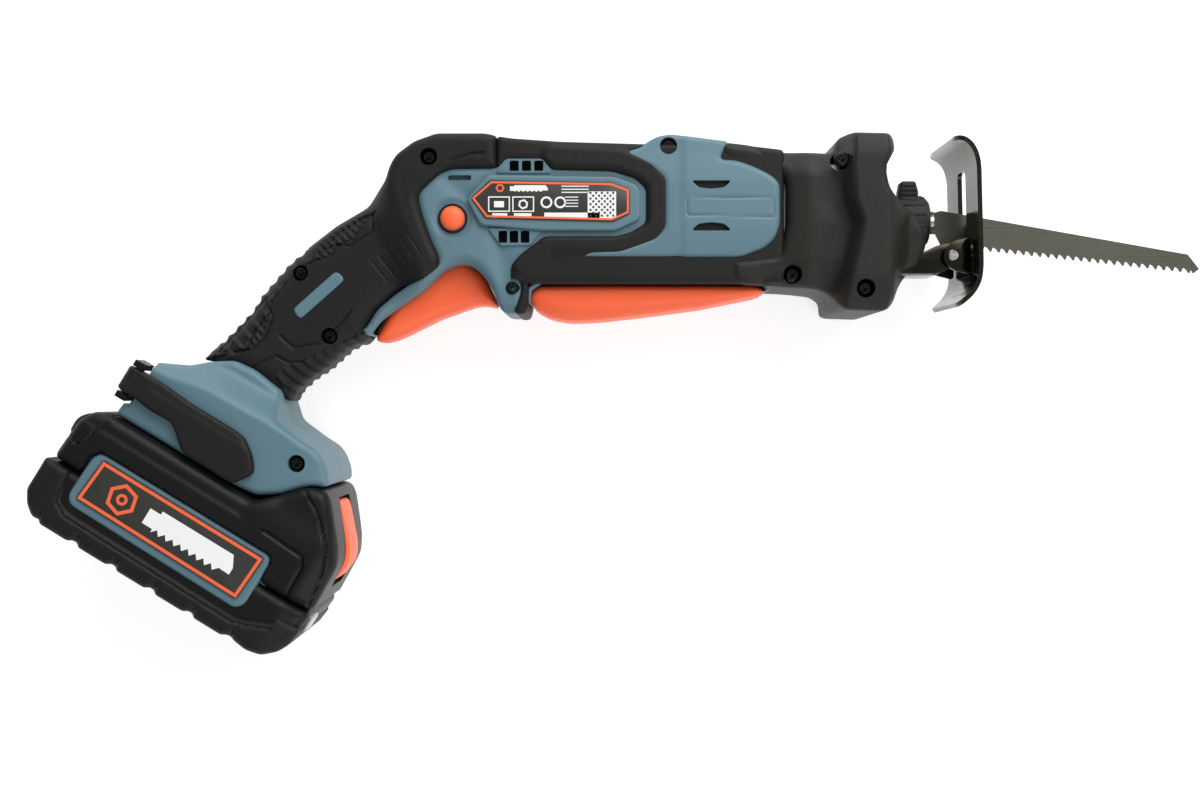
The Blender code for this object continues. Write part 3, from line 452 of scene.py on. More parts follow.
def handlingGroup():  # paler rubbed patches and faint dust over a clean colour
    tree, given, out = newGroup(
        "handling",
        [
            ("Coords", "NodeSocketVector", (0, 0, 0)), ("Clean", "NodeSocketColor", (0.1, 0.1, 0.1, 1)),
            ("Rubbed", "NodeSocketColor", (0.2, 0.2, 0.2, 1)), ("Amount", "NodeSocketFloat", 0.3),
        ],
        [("Color", "NodeSocketColor"), ("Mask", "NodeSocketFloat")],
    )
    broad = noise(tree, given.outputs["Coords"], 16.0, 5.0, 0.6)
    fine = noise(tree, given.outputs["Coords"], 420.0, 3.0, 0.6)
    patches = mapRange(tree, broad.outputs["Fac"], 0.42, 0.72, 0.0, 1.0).outputs["Result"]
    specks = mapRange(tree, fine.outputs["Fac"], 0.35, 0.7, 0.2, 1.0).outputs["Result"]
    product = place(tree, "ShaderNodeMath", (0, patches), (1, specks), operation="MULTIPLY")
    scaled = place(
        tree, "ShaderNodeMath", (0, product.outputs[0]), (1, given.outputs["Amount"]), operation="MULTIPLY",
    )
    mix = tree.nodes.new("ShaderNodeMix")
    mix.data_type = "RGBA"
    for socket, source in (
        (0, scaled.outputs[0]), (6, given.outputs["Clean"]), (7, given.outputs["Rubbed"]),
    ):
        link(tree, source, mix.inputs[socket])
    link(tree, mix.outputs[2], out.inputs["Color"])
    link(tree, product.outputs[0], out.inputs["Mask"])
    return tree


def drawnMetalGroup():  # fine streaks left by drawing or grinding
    tree, given, out = newGroup(
        "drawnMetal",
        [
            ("Coords", "NodeSocketVector", (0, 0, 0)), ("Stretch", "NodeSocketVector", (40, 1500, 1500)),
            ("Strength", "NodeSocketFloat", 0.2),
        ],
        [("Normal", "NodeSocketVector"), ("Streaks", "NodeSocketFloat")],
    )
    stretched = place(
        tree, "ShaderNodeVectorMath", (0, given.outputs["Coords"]), (1, given.outputs["Stretch"]),
        operation="MULTIPLY",
    )
    streaks = noise(tree, stretched.outputs["Vector"], 1.0, 3.0)
    bump = place(
        tree, "ShaderNodeBump", ("Strength", given.outputs["Strength"]), ("Height", streaks.outputs["Fac"]),
        Distance=0.0002,
    )
    link(tree, bump.outputs["Normal"], out.inputs["Normal"])
    link(tree, streaks.outputs["Fac"], out.inputs["Streaks"])
    return tree


mouldGrain = mouldGrainGroup()
handling = handlingGroup()
drawnMetal = drawnMetalGroup()


def useGroup(tree, group, **values):
    made = tree.nodes.new("ShaderNodeGroup")
    made.node_tree = group
    for label, value in values.items():
        made.inputs[label].default_value = value
    return made


def newSkin(name, metal=0.0, coat=0.0, sheen=0.0, shine=0.5):
    skin = bpy.data.materials.new(name)
    skin.use_nodes = True
    tree = skin.node_tree
    shader = tree.nodes["Principled BSDF"]
    shader.inputs["Metallic"].default_value = metal
    shader.inputs["Coat Weight"].default_value = coat
    shader.inputs["Coat Roughness"].default_value = 0.25
    shader.inputs["Sheen Weight"].default_value = sheen
    shader.inputs["Specular IOR Level"].default_value = shine
    coords = tree.nodes.new("ShaderNodeTexCoord").outputs["Object"]
    return skin, tree, shader, coords


# wear, surface and roughness
def dressed(skin, tree, shader, coords, surface, mask, rough, clean, rubbed, amount):
    worn = useGroup(tree, handling, Clean=(*clean, 1), Rubbed=(*rubbed, 1), Amount=amount)
    link(tree, coords, worn.inputs["Coords"])
    link(tree, coords, surface.inputs["Coords"])
    link(tree, worn.outputs["Color"], shader.inputs["Base Color"])
    link(
        tree, mapRange(tree, surface.outputs[mask], 0.3, 0.7, *rough).outputs["Result"],
        shader.inputs["Roughness"],
    )
    link(tree, surface.outputs["Normal"], shader.inputs["Normal"])
    return skin


def mouldedSkin(name, clean, rubbed, amount=0.25, rough=(0.38, 0.55), grain=2200.0, strength=0.15, **extra):
    made = newSkin(name, **extra)
    pitted = useGroup(made[1], mouldGrain, Scale=grain, Strength=strength)
    return dressed(*made, pitted, "Pits", rough, clean, rubbed, amount)


def metalSkin(
    name, clean, rubbed, stretch=(40, 1500, 1500), amount=0.3, rough=(0.22, 0.4), strength=0.2, metal=1.0,
    **extra,
):
    made = newSkin(name, metal=metal, **extra)
    drawn = useGroup(made[1], drawnMetal, Stretch=stretch, Strength=strength)
    return dressed(*made, drawn, "Streaks", rough, clean, rubbed, amount)


skins = {
    "blue": mouldedSkin(
        "slateBlueNylon", (0.088, 0.172, 0.213), (0.135, 0.235, 0.28), 0.18, (0.42, 0.58), 1500.0, 0.16,
    ),
    "rubber": mouldedSkin(
        "gripRubber", (0.008, 0.008, 0.0075), (0.022, 0.022, 0.021), 0.3, (0.46, 0.66), 1900.0, 0.3,
        shine=0.24,
    ),
    "boot": mouldedSkin(
        "noseBoot", (0.015, 0.0152, 0.0125), (0.03, 0.03, 0.026), 0.25, (0.42, 0.58), 1900.0, 0.22,
        shine=0.24,
    ),
    "black": mouldedSkin(
        "packNylon", (0.0055, 0.0055, 0.0055), (0.016, 0.016, 0.0155), 0.25, (0.34, 0.5), 1700.0, 0.2,
        shine=0.2,
    ),
    "orange": mouldedSkin(
        "orangeNylon", (1.0, 0.13, 0.035), (1.0, 0.2, 0.09), 0.15, (0.42, 0.56), 1500.0, 0.12,
    ),
    "label": mouldedSkin(
        "labelFoil", (0.026, 0.027, 0.022), (0.05, 0.05, 0.045), 0.2, (0.3, 0.42), 900.0, 0.05,
    ),
    "print": mouldedSkin("whitePrint", (0.85, 0.86, 0.86), (0.6, 0.6, 0.6), 0.15, (0.35, 0.5), 900.0, 0.05),
    "greyPrint": mouldedSkin(
        "greyPrint", (0.3, 0.31, 0.31), (0.2, 0.2, 0.2), 0.2, (0.35, 0.5), 900.0, 0.05,
    ),
    "orangePrint": mouldedSkin(
        "orangePrint", (0.85, 0.13, 0.045), (0.7, 0.18, 0.1), 0.2, (0.35, 0.5), 900.0, 0.05,
    ),
    "nickel": metalSkin(
        "blackNickel", (0.03, 0.028, 0.022), (0.2, 0.17, 0.12), (60, 900, 60), 0.4, (0.1, 0.24), 0.1,
    ),
    "blade": metalSkin(
        "bladeSteel", (0.085, 0.083, 0.066), (0.18, 0.175, 0.145), (30, 1400, 900), 0.35, (0.36, 0.55),
        0.25, 0.75,
    ),
    "steel": metalSkin(
        "groundSteel", (0.42, 0.42, 0.41), (0.56, 0.56, 0.55), (300, 900, 900), 0.4, (0.2, 0.36),
    ),
    "screwSteel": metalSkin(
        "blackedScrew", (0.012, 0.012, 0.012), (0.06, 0.06, 0.06), (500, 500, 500), 0.4, (0.3, 0.45), 0.1,
        0.8,
    ),
    "alloy": metalSkin(
        "castAlloy", (0.52, 0.52, 0.52), (0.66, 0.66, 0.65), (300, 300, 300), 0.5, (0.4, 0.6), 0.35,
    ),
    "bronze": metalSkin(
        "sinteredBronze", (0.5, 0.3, 0.1), (0.62, 0.42, 0.2), (600, 600, 600), 0.4, (0.35, 0.5), 0.3,
    ),
    "copper": metalSkin(
        "woundCopper", (0.65, 0.26, 0.13), (0.75, 0.38, 0.24), (60, 1200, 1200), 0.4, (0.25, 0.45), 0.5,
    ),
    "wrap": mouldedSkin("cellWrap", (0.03, 0.2, 0.17), (0.06, 0.27, 0.24), 0.2, (0.25, 0.38), 700.0, 0.05),
    "board": mouldedSkin(
        "circuitBoard", (0.015, 0.16, 0.05), (0.04, 0.24, 0.1), 0.4, (0.3, 0.5), 1400.0, 0.1,
    ),
    "redWire": mouldedSkin(
        "redInsulation", (0.45, 0.015, 0.015), (0.55, 0.06, 0.05), 0.2, (0.35, 0.5), 900.0, 0.1,
    ),
}


def clearSkin(name, tint, rough=0.06):
    made = newSkin(name, coat=0.3)
    made[2].inputs["Transmission Weight"].default_value = 0.85
    made[2].inputs["IOR"].default_value = 1.49
    pitted = useGroup(made[1], mouldGrain, Scale=600.0, Strength=0.04)
    return dressed(*made, pitted, "Pits", (rough, rough + 0.08), tint, (0.8, 0.8, 0.8), 0.2)


skins["lens"] = clearSkin("clearLens", (0.9, 0.93, 0.95))
skins["window"] = clearSkin("gaugeWindow", (0.5, 0.49, 0.47), 0.1)
print("finishes ready")

# stage, camera and lights


def setStage():
    studio = {"reach": 6.0, "cameraUp": 650.0, "lens": 44.3, "aimX": 0.0, "aimY": 0.0}
    mesh = bpy.data.meshes.new("studioFloor")
    r = studio["reach"]
    mesh.from_pydata([(-r, -r, 0), (r, -r, 0), (r, r, 0), (-r, r, 0)], [], [(0, 1, 2, 3)])
    skin, tree, shader, coords = newSkin("paperFloor", shine=0.1)
    speck = noise(tree, coords, 9.0, 3.0)
    tone = tree.nodes.new("ShaderNodeMix")
    tone.data_type = "RGBA"
    link(tree, speck.outputs["Fac"], tone.inputs[0])
    tone.inputs[6].default_value = (0.5, 0.5, 0.505, 1)
    tone.inputs[7].default_value = (0.53, 0.53, 0.535, 1)
    link(tree, tone.outputs[2], shader.inputs["Base Color"])
    shader.inputs["Roughness"].default_value = 0.9
    shader.inputs["Emission Color"].default_value = (1, 1, 1, 1)
    shader.inputs["Emission Strength"].default_value = 0.72
    mesh.materials.append(skin)
    floor = bpy.data.objects.new("studioFloor", mesh)
    scene.collection.objects.link(floor)
    camera = bpy.data.objects.new("studioCamera", bpy.data.cameras.new("studioCamera"))
    camera.data.lens = studio["lens"]
    camera.data.sensor_width = 36
    camera.location = world(studio["aimX"], studio["aimY"], studio["cameraUp"])
    scene.collection.objects.link(camera)
    scene.camera = camera
    scene.world = bpy.data.worlds.new("studioWorld")
    scene.world.use_nodes = True
    backdrop = scene.world.node_tree.nodes["Background"]
    backdrop.inputs["Color"].default_value = (1, 1, 1, 1)
    backdrop.inputs["Strength"].default_value = 0.42
    boxes = {
        "keyBox": ((0.5, 0.8, 1.05), (1.1, 0.8), 12.0),
        "topBox": ((0.25, 1.2, 0.55), (1.6, 0.5), 9.0),
        "fillBox": ((0.5, -0.9, 0.9), (0.9, 0.9), 6.0),
    }
    for name, (spot, size, power) in boxes.items():
        lamp = bpy.data.lights.new(name, "AREA")
        lamp.shape = "RECTANGLE"
        lamp.size, lamp.size_y = size
        lamp.energy = power
        made = bpy.data.objects.new(name, lamp)
        made.location = spot
        made.rotation_euler = (-Vector(spot)).to_track_quat("-Z", "Y").to_euler()
        scene.collection.objects.link(made)
    scene.view_settings.view_transform = "Standard"


setStage()
print("stage ready")

# shared outlines
gripBack = [
    (-172.5, 17.5), (-166.5, 23.0), (-158.5, 31.0), (-150.5, 39.5), (-147.5, 45.0), (-135.0, 59.5),
    (-125.5, 67.0), (-114.5, 75.5), (-101.0, 83.5), (-96.0, 89.0), (-91.5, 93.5),
]
gripFront = [(-137.5, -1.5), (-132.0, 3.0), (-125.5, 9.0), (-119.0, 13.0), (-109.0, 22.0), (-101.0, 25.5)]
bodyLine = [
    (-103.0, 30.0), (-99.5, 27.0), (-94.2, 34.0), (-85.5, 40.2), (-74.8, 47.2), (-66.3, 55.8),
    (-59.5, 58.3),
    (-54.0, 57.2), (-49.2, 52.4), (-45.6, 46.6), (-42.5, 38.5), (-39.5, 36.5), (-34.5, 36.5), (-31.8, 40.0),
    (-31.6, 52.6), (72.0, 52.6), (72.0, 104.0), (17.5, 104.5), (-17.5, 105.0), (-43.0, 106.0),
    (-44.0, 100.0),
    (-63.3, 99.6), (-69.0, 97.6), (-77.6, 89.4), (-78.6, 86.0), (-77.2, 79.0), (-73.2, 67.6), (-69.8, 60.5),
    (-69.8, 57.7), (-78.3, 51.6), (-88.7, 45.0), (-96.0, 38.8), (-100.7, 31.0),
]
coverLine = [
    (7.5, 104.5), (21.5, 98.3), (27.3, 93.5), (27.3, 73.0), (23.5, 68.7), (8.5, 63.8), (-4.5, 63.2),
    (-8.0, 60.2),
    (59.5, 60.2), (69.7, 64.3), (74.0, 68.3), (76.0, 74.5), (76.0, 91.5), (72.2, 95.2), (64.0, 99.2),
    (57.5, 101.5), (50.5, 101.8), (55.0, 109.5), (30.0, 112.7), (24.0, 111.7), (17.5, 107.7),
]
frameLine = [
    (-56.5, 85.0), (-47.5, 95.2), (6.0, 94.4), (15.0, 91.2), (17.0, 88.0), (17.0, 76.5), (6.5, 71.6),
    (-25.0, 71.6), (-50.5, 74.0),
]
triggerShown = [
    (-98.0, 25.5), (-93.5, 25.0), (-87.0, 27.0), (-70.0, 35.5), (-54.5, 41.0), (-50.0, 41.5), (-44.0, 40.0),
]
triggerHidden = [(-46.5, 46.0), (-51.0, 55.0), (-59.5, 62.0), (-68.0, 60.0), (-77.0, 53.0), (-90.0, 42.0)]
triggerWay = Vector(jointRows["trigger_pull"]["axis"])
noBase = 0.15  # from the mid-plane to each half


def innerRoom(pts, inner):  # opens the inside of a shell where the gears run
    x, y = pts[:, 0], pts[:, 1]
    return np.where((x > 54) & (x < 92) & (y > 57.5) & (y < 98.5), np.maximum(inner, 20.3), inner)


def triggerRoom(pts, inner):  # opens it where the trigger travels
    swept = np.full(len(pts), -99.0)
    for travel in (0.0, 3.0, 6.0, 8.5):
        outline = [
            (x + triggerWay.x * travel, y + triggerWay.y * travel)
            for x, y in triggerShown + triggerHidden
        ]
        swept = np.maximum(swept, depthIn(pts, outline))
    return np.where(swept > -0.9, np.maximum(inner, 12.3), inner)


def bothSides(piece, slotName, body, node, *more):
    left = mirrorPiece(piece, piece.name.replace("Right", "Left"))
    settle(piece, body, slotName, *[n + "_right" for n in (node, *more) if n])
    settle(left, body, slotName, *[n + "_left" for n in (node, *more) if n])
    return left


# blue clamshell
def makeClamshell():
    shell = {"half": 24.0, "grip": 17.8, "edge": 4.5, "wall": 2.6, "innerHalf": 21.4, "slotDepth": 12.2}
    loop = evenLoop(bodyLine, 3.0, 0.9)
    tray = np.array(triggerShown + triggerHidden)
    pulled = tray + np.array(triggerWay)[:2] * 6.0
    facet = [
        (-90, 120), (-72, 100), (-64.5, 93.5), (-54.5, 84), (-48.5, 77), (-42.5, 66), (-39.5, 40),
        (-39, 30),
    ]

    def top(pts, depth):
        near = ease((pts[:, 0] + 0.35 * (pts[:, 1] - 80) + 104) / 22)
        high = shell["grip"] + (shell["half"] - shell["grip"]) * near - edgeFall(depth, shell["edge"])
        crease = pathDistance(pts, facet)
        high -= 0.9 * np.exp(-((crease / 4.0) ** 2)) * ease(depth / 3)
        hub = np.hypot(pts[:, 0] + 62.5, pts[:, 1] - 77)
        high -= 0.8 * ease((9.0 - hub) / 2.0) * (hub > 5.6)
        return high

    def base(pts, depth):
        low = np.where(depth > shell["wall"], shell["innerHalf"] - 1.5, noBase)
        open_ = np.maximum(depthIn(pts, tray), depthIn(pts, pulled)) > -1.3
        return innerRoom(pts, np.where(open_, np.maximum(low, shell["slotDepth"]), low))

    right = reliefPiece("clamshellRight", loop, top, base, skins["blue"], 0.85)
    return right


def ventCutters():
    vents = {
        "lowerX": -43.0, "lowerPitch": 4.7, "upperX": -38.3, "upperPitch": 5.2, "floor": 12,
        "slotFloor": 20.5, "over": 40,
    }
    cutters = []
    for k in range(3):
        x = vents["lowerX"] + vents["lowerPitch"] * k
        lower = evenLoop(boxLoop(x, 66.6, x + 3.7, 71.7), 0.5, 0.5)
        x = vents["upperX"] + vents["upperPitch"] * k
        upper = evenLoop(boxLoop(x, 97.0, x + 3.9, 101.4), 0.5, 0.5)
        cutters += [
            slabPiece("cutter", loop, vents["floor"], vents["over"], skins["black"], 0)
            for loop in (lower, upper)
        ]
    slot = evenLoop(boxLoop(-64.5, 93.2, -54.6, 95.4), 0.8, 0.5)
    return cutters + [slabPiece("cutter", slot, vents["slotFloor"], vents["over"], skins["black"], 0)]


clamshell = makeClamshell()
carve(clamshell, ventCutters())
bothSides(clamshell, "slate_blue", "tool", "housing")


def makeVentShadeSheet():  # a dark sheet behind the vents, painted shade where the vents open into the tool
    back = {"low": 18.0, "high": 18.6}
    pieces = []
    for box in ((-46, 65, -27, 73), (-41, 96, -20, 103)):
        pieces.append(
            # black rubber slabs that paint the shade inside the vent openings; no real part sits here
            slabPiece(
                "shadeSheet", evenLoop(boxLoop(*box), 1, 1), back["low"], back["high"], skins["rubber"], 0.1, 1,
            )
        )
    shadeSheet = joined("ventGauzeRight", pieces)
    bothSides(shadeSheet, "black_rubber", "tool", "")


makeVentShadeSheet()


def makeFrameIsland():  # raised blue surround of the label
    island = {"top": 26.4, "edge": 0.9}
    loop = evenLoop(frameLine, 2.0, 0.7)
    right = reliefPiece(
        "labelSurroundRight", loop, roundedAt(island["top"], island["edge"]), flatAt(20.0), skins["blue"],
        1.4,
    )
    bothSides(right, "slate_blue", "tool", "housing")


makeFrameIsland()


def makeVentBlocks():  # blue trapezia that carry the vents, a little proud of the black band
    low = [(-47.5, 72.8), (-24.0, 72.8), (-29.5, 65.4), (-42.0, 65.4)]
    high = [(-44.0, 96.0), (-44.0, 97.6), (-39.8, 102.3), (-24.2, 102.3), (-20.6, 97.4), (-20.6, 96.0)]
    for word, line in (("Lower", low), ("Upper", high)):
        block = slabPiece("vent" + word + "Right", evenLoop(line, 0.8, 0.6), 19.0, 24.7, skins["blue"], 0.5)
        carve(block, ventCutters())
        bothSides(block, "slate_blue", "tool", "housing")


makeVentBlocks()


def makeMotorCover():
    cover = {"top": 28.0, "edge": 2.2, "crown": 1.6, "raised": 0.7}
    loop = evenLoop(coverLine, 2.5, 0.8)
    raised = [(37.0, 85.5), (37.0, 78.2), (73.0, 77.4), (73.0, 84.8)]

    def top(pts, depth):
        high = cover["top"] - edgeFall(depth, cover["edge"])
        high -= cover["crown"] * ease((np.abs(pts[:, 1] - 82) - 8) / 22)
        high += plateau(pts, raised, cover["raised"], 0.6) - 0.7 * ease(
            1 - np.abs(depthIn(pts, raised)) / 0.8
        )
        left = ease((37.0 - pts[:, 0]) / 4.0)
        high -= 0.5 * left
        return np.minimum(high, 28.0)

    right = reliefPiece(
        "motorCoverRight", loop, top, lambda p, d: np.where(d > 2.2, 21.0, 8.0), skins["blue"], 0.85,
    )
    lensCuts = []
    for line in (
        [(38.5, 92.6), (55.5, 92.6), (52.5, 89.6), (47.0, 89.0), (41.5, 89.6)],
        [(38.5, 71.4), (55.5, 71.4), (52.5, 74.4), (47.0, 75.0), (41.5, 74.4)],
    ):
        lensCuts.append(slabPiece("cutter", evenLoop(line, 1.5, 0.5), 16, 40, skins["black"], 0))
    left = mirrorPiece(right, "motorCoverLeft")
    carve(left, [mirrorPiece(cutter, "cutter") for cutter in lensCuts])
    lensCuts.append(well(29.0, 107.5, 3.7, 18, 32))
    carve(right, lensCuts)
    settle(right, "tool", "slate_blue", "housing_right")
    settle(left, "tool", "slate_blue", "housing_left")


makeMotorCover()


def makeMotorGlimpse():  # the steel field ring seen through the lens-shaped vents
    ring = turnedPiece(
        "fieldRing", [(38.0, 19.0), (38.0, 23.6), (56.0, 23.6), (56.0, 19.0)], skins["steel"],
        (0, axisY + 4, 0), (1, 0, 0), 64,
    )
    settle(ring, "tool", "steel", "motor_can")
    can = turnedPiece(
        "motorCase",
        [
            (-18, 8), (-18, 19.0), (-17, 20), (34, 20), (35, 19.2), (37.4, 19.2), (37.4, 16), (-15, 16),
            (-15, 8),
        ],
        skins["steel"], (0, axisY, 0), (1, 0, 0), 64,
    )
    settle(can, "tool", "steel", "motor_can")


makeMotorGlimpse()
print("clamshell ready")


# foot
def makeFoot():
    foot = {"half": 32.5, "edge": 3.0, "neck": 20.0, "wall": 3.0}
    line = inPack([
        (-50.5, 0.0), (-49.5, -9.0), (-48.0, -27.0), (-44.5, -28.5), (-36.5, -32.5), (-32.0, -37.0),
        (-29.5, -39.0),
        (-22.0, -44.0), (-12.0, -45.0), (2.0, -43.0), (4.0, -39.0), (6.0, -36.5), (8.5, -32.5),
        (22.5, -31.0), (29.0, -31.0), (34.0, -29.0), (39.0, -25.0),
        (41.8, -20.2), (35.0, -16.8), (26.0, -7.0), (18.0, -1.6), (7.0, -0.4),
    ])
    loop = evenLoop(line, 2.5, 0.9)

    def top(pts, depth):
        a, b = packCoords(pts)
        shoulder = -24.5 - 4.5 * ease((a + 46) / 28) - 1.5 * ease((a + 18) / 40)
        rise = ease((b - shoulder + 11.5) / 12.5)
        high = foot["neck"] + (foot["half"] - foot["neck"]) * rise
        high -= edgeFall(depth, foot["edge"])
        nose = ease((a - 26) / 14)
        high -= 1.2 * nose * ease((-16 - b) / 10)
        return high

    def base(pts, depth):
        a, b = packCoords(pts)
        rails = (b > -8.4) & (a > -47)
        inner = np.where(depth > foot["wall"], 14.0, noBase)
        return np.where(rails, 20.6, inner)

    right = reliefPiece("footRight", loop, top, base, skins["blue"], 0.85)
    screwWell = well(*inPack([(25.5, -22.0)])[0], 3.7, 15, 32)
    bracketRoom = slabPiece(
        "cutter", inPack([(-60, -27), (-46.4, -27), (-46.4, -5.5), (-60, -5.5)]), 22, 60, skins["black"], 0,
    )
    left = mirrorPiece(right, "footLeft")
    carve(right, [screwWell, bracketRoom])
    settle(right, "tool", "slate_blue", "housing_right")
    settle(left, "tool", "slate_blue", "housing_left")


makeFoot()
print("foot ready")


# rubber over the grip
def scalloped(loop, path, pitch, height):  # an outline drawn in where ribs cross it
    reach = pathDistance(loop, path)
    steps = np.concatenate([[0], np.cumsum(np.linalg.norm(np.diff(loop, axis=0), axis=1))])
    inward = np.roll(loop, -1, axis=0) - np.roll(loop, 1, axis=0)
    inward = np.column_stack([-inward[:, 1], inward[:, 0]]) / np.linalg.norm(inward, axis=1)[:, None]
    wave = (0.5 - 0.5 * np.cos(2 * math.pi * steps / pitch)) ** 0.7
    return loop + inward * (height * wave * (reach < 0.6))[:, None]


def makeGrip():
    grip = {
        "half": 18.0, "edge": 11.0, "shoulder": 25.8, "shoulderEdge": 4.0, "backPitch": 5.6,
        "frontPitch": 4.4,
    }
    line = (
        [(-167.0, 16.5), (-162.0, 12.5), (-154.5, 11.0), (-143.5, 4.0), (-134.0, -1.0)] + gripFront[1:-1]
        + [
            (-101.0, 25.5), (-99.0, 30.0), (-94.5, 37.5), (-87.5, 43.5), (-77.0, 50.0), (-68.0, 56.5),
            (-68.0, 60.5),
            (-71.5, 68.0), (-75.5, 79.0), (-77.0, 85.5), (-76.0, 88.5), (-68.0, 96.0), (-63.0, 98.0),
            (-43.5, 98.0),
        ]
        + [
            (-43.5, 112.2), (-48.5, 113.4), (-69.5, 113.4), (-79.0, 110.0), (-86.5, 104.5), (-89.0, 100.5),
        ] + gripBack[::-1]
    )
    loop = evenLoop(line, 2.0, 0.55)
    backEdge = [
        (-164.0, 25.5), (-158.5, 31.0), (-150.5, 39.5), (-147.5, 45.0), (-135.0, 59.5), (-127.5, 65.4),
    ]
    frontEdge = [(-132.0, 3.0), (-125.5, 9.0), (-119.0, 13.0), (-109.0, 22.0), (-104.0, 24.3)]
    loop = scalloped(scalloped(loop, backEdge, grip["backPitch"], 0.9), frontEdge, grip["frontPitch"], 0.8)
    ribZone = [
        (-170, 14), (-149.5, 21.5), (-143.0, 26.5), (-139.5, 33.5), (-141.0, 43.0), (-135.0, 49.5),
        (-122, 62), (-126, 72), (-160, 50), (-180, 20),
    ]
    frontZone = [
        (-144, -4), (-141.5, 8.5), (-133.5, 16), (-122.0, 19.5), (-111.0, 25.0), (-100, 29), (-98, 18),
        (-130, -12),
    ]
    heelZone = [
        (-160.0, 20.5), (-149.5, 21.0), (-144.5, 26.5), (-141.0, 34.5), (-147.5, 39.0), (-156.5, 29.5),
    ]
    thumbZone = [
        (-120.5, 60.0), (-115.5, 61.5), (-112.0, 66.5), (-106.0, 69.0), (-101.5, 75.5), (-97.0, 80.0),
        (-103.5, 79.0), (-114.5, 72.5), (-123.0, 65.5),
    ]
    arcs = [
        [
            (-161.5, 20.5), (-149.5, 21.5), (-144.0, 26.5), (-140.5, 34.5), (-141.0, 42.0), (-135.0, 49.5),
            (-126.0, 58.0), (-120.5, 60.5),
        ],
        [(-120.5, 60.0), (-115.5, 61.5), (-112.0, 66.5), (-106.0, 69.0), (-101.5, 75.5), (-96.0, 80.5)],
        [
            (-150.5, 13.0), (-144.5, 16.5), (-139.0, 19.0), (-133.5, 16.0), (-128.5, 16.5), (-122.0, 19.5),
            (-111.5, 25.0), (-101.0, 30.0),
        ],
        [(-137.5, 28.0), (-131.5, 22.5), (-121.5, 24.0), (-112.0, 32.0), (-107.0, 38.0)],
    ]
    arcs += [
        [
            (-121.5, 62.5), (-112.0, 71.5), (-101.5, 78.5), (-97.5, 79.5), (-97.5, 72.5), (-107.5, 66.0),
            (-114.0, 66.5), (-121.5, 62.5),
        ],
        [(-166.0, 18.0), (-143.5, 44.0), (-141.5, 37.5), (-147.5, 30.5), (-151.5, 21.5), (-166.0, 18.0)],
    ]
    hashLines = [[(-98.0 + 3.0 * k, 59.5 + 2.6 * k), (-89.5 + 2.6 * k, 49.0 + 2.8 * k)] for k in range(6)]
    gripWay = np.array([0.72, 0.694])

    def top(pts, depth):
        near = ease((pts[:, 0] + 0.35 * (pts[:, 1] - 80) + 100) / 17)
        flat = grip["half"] + (grip["shoulder"] - grip["half"]) * near
        fall = (1 - near) * edgeFall(depth, grip["edge"]) + near * edgeFall(depth, grip["shoulderEdge"])
        high = flat - fall
        run = pts @ gripWay
        ribs = 0.5 - 0.5 * np.cos(2 * math.pi * run / grip["backPitch"])
        high -= 1.0 * ribs * ease(depthIn(pts, ribZone) / 1.5) * ease((9.5 - depth) / 1.5)
        lines = 0.5 - 0.5 * np.cos(2 * math.pi * run / 2.8)
        high -= 0.75 * lines * ease(depthIn(pts, heelZone) / 1.0)
        high -= 0.75 * lines * ease(depthIn(pts, thumbZone) / 1.0)
        front = 0.5 - 0.5 * np.cos(2 * math.pi * run / grip["frontPitch"])
        high -= 1.0 * front * ease(depthIn(pts, frontZone) / 1.5)
        for arc in arcs:
            high += groove(pts, arc, 1.9, 0.9)
        for stroke in hashLines:
            high += groove(pts, stroke, 1.1, 0.45)
        high += groove(pts, [(-63.5, 101.5), (-55.5, 104.2), (-49.5, 104.6)], 2.0, 0.9)
        return np.maximum(high, 2.0)

    def base(pts, depth):
        near = ease((pts[:, 0] + 0.35 * (pts[:, 1] - 80) + 100) / 17)
        return triggerRoom(pts, np.where(depth > 2.5, 10.0 + 5.0 * near, noBase))

    right = reliefPiece("gripSleeveRight", loop, top, base, skins["rubber"], 0.62, smoothAngle=55)
    left = mirrorPiece(right, "gripSleeveLeft")
    wells = [(-128.5, 54.5, 3.5), (-116.0, 27.5, 3.5), (-72.5, 103.0, 3.7)]
    carve(right, [well(x, y, radius) for x, y, radius in wells])
    settle(right, "tool", "black_rubber", "grip_rubber_right")
    settle(left, "tool", "black_rubber", "grip_rubber_left")


def makeGripStrip():  # blue inlay along the middle of the grip
    strip = {"width": 5.4, "top": 18.7}
    a, b = np.array((-129.5, 37.0)), np.array((-111.5, 53.0))
    way = (b - a) / np.linalg.norm(b - a)
    side = np.array([-way[1], way[0]]) * strip["width"] / 2
    loop = evenLoop([a - side - way, b - side + way, b + side + way * 0.5, a + side - way * 0.5], 2.3, 0.5)
    inlay = reliefPiece(
        "gripInlayRight", loop, roundedAt(strip["top"], 0.8), flatAt(12.0), skins["blue"], 0.9,
    )
    bothSides(inlay, "slate_blue", "tool", "grip_rubber")


makeGrip()
makeGripStrip()
print("grip ready")


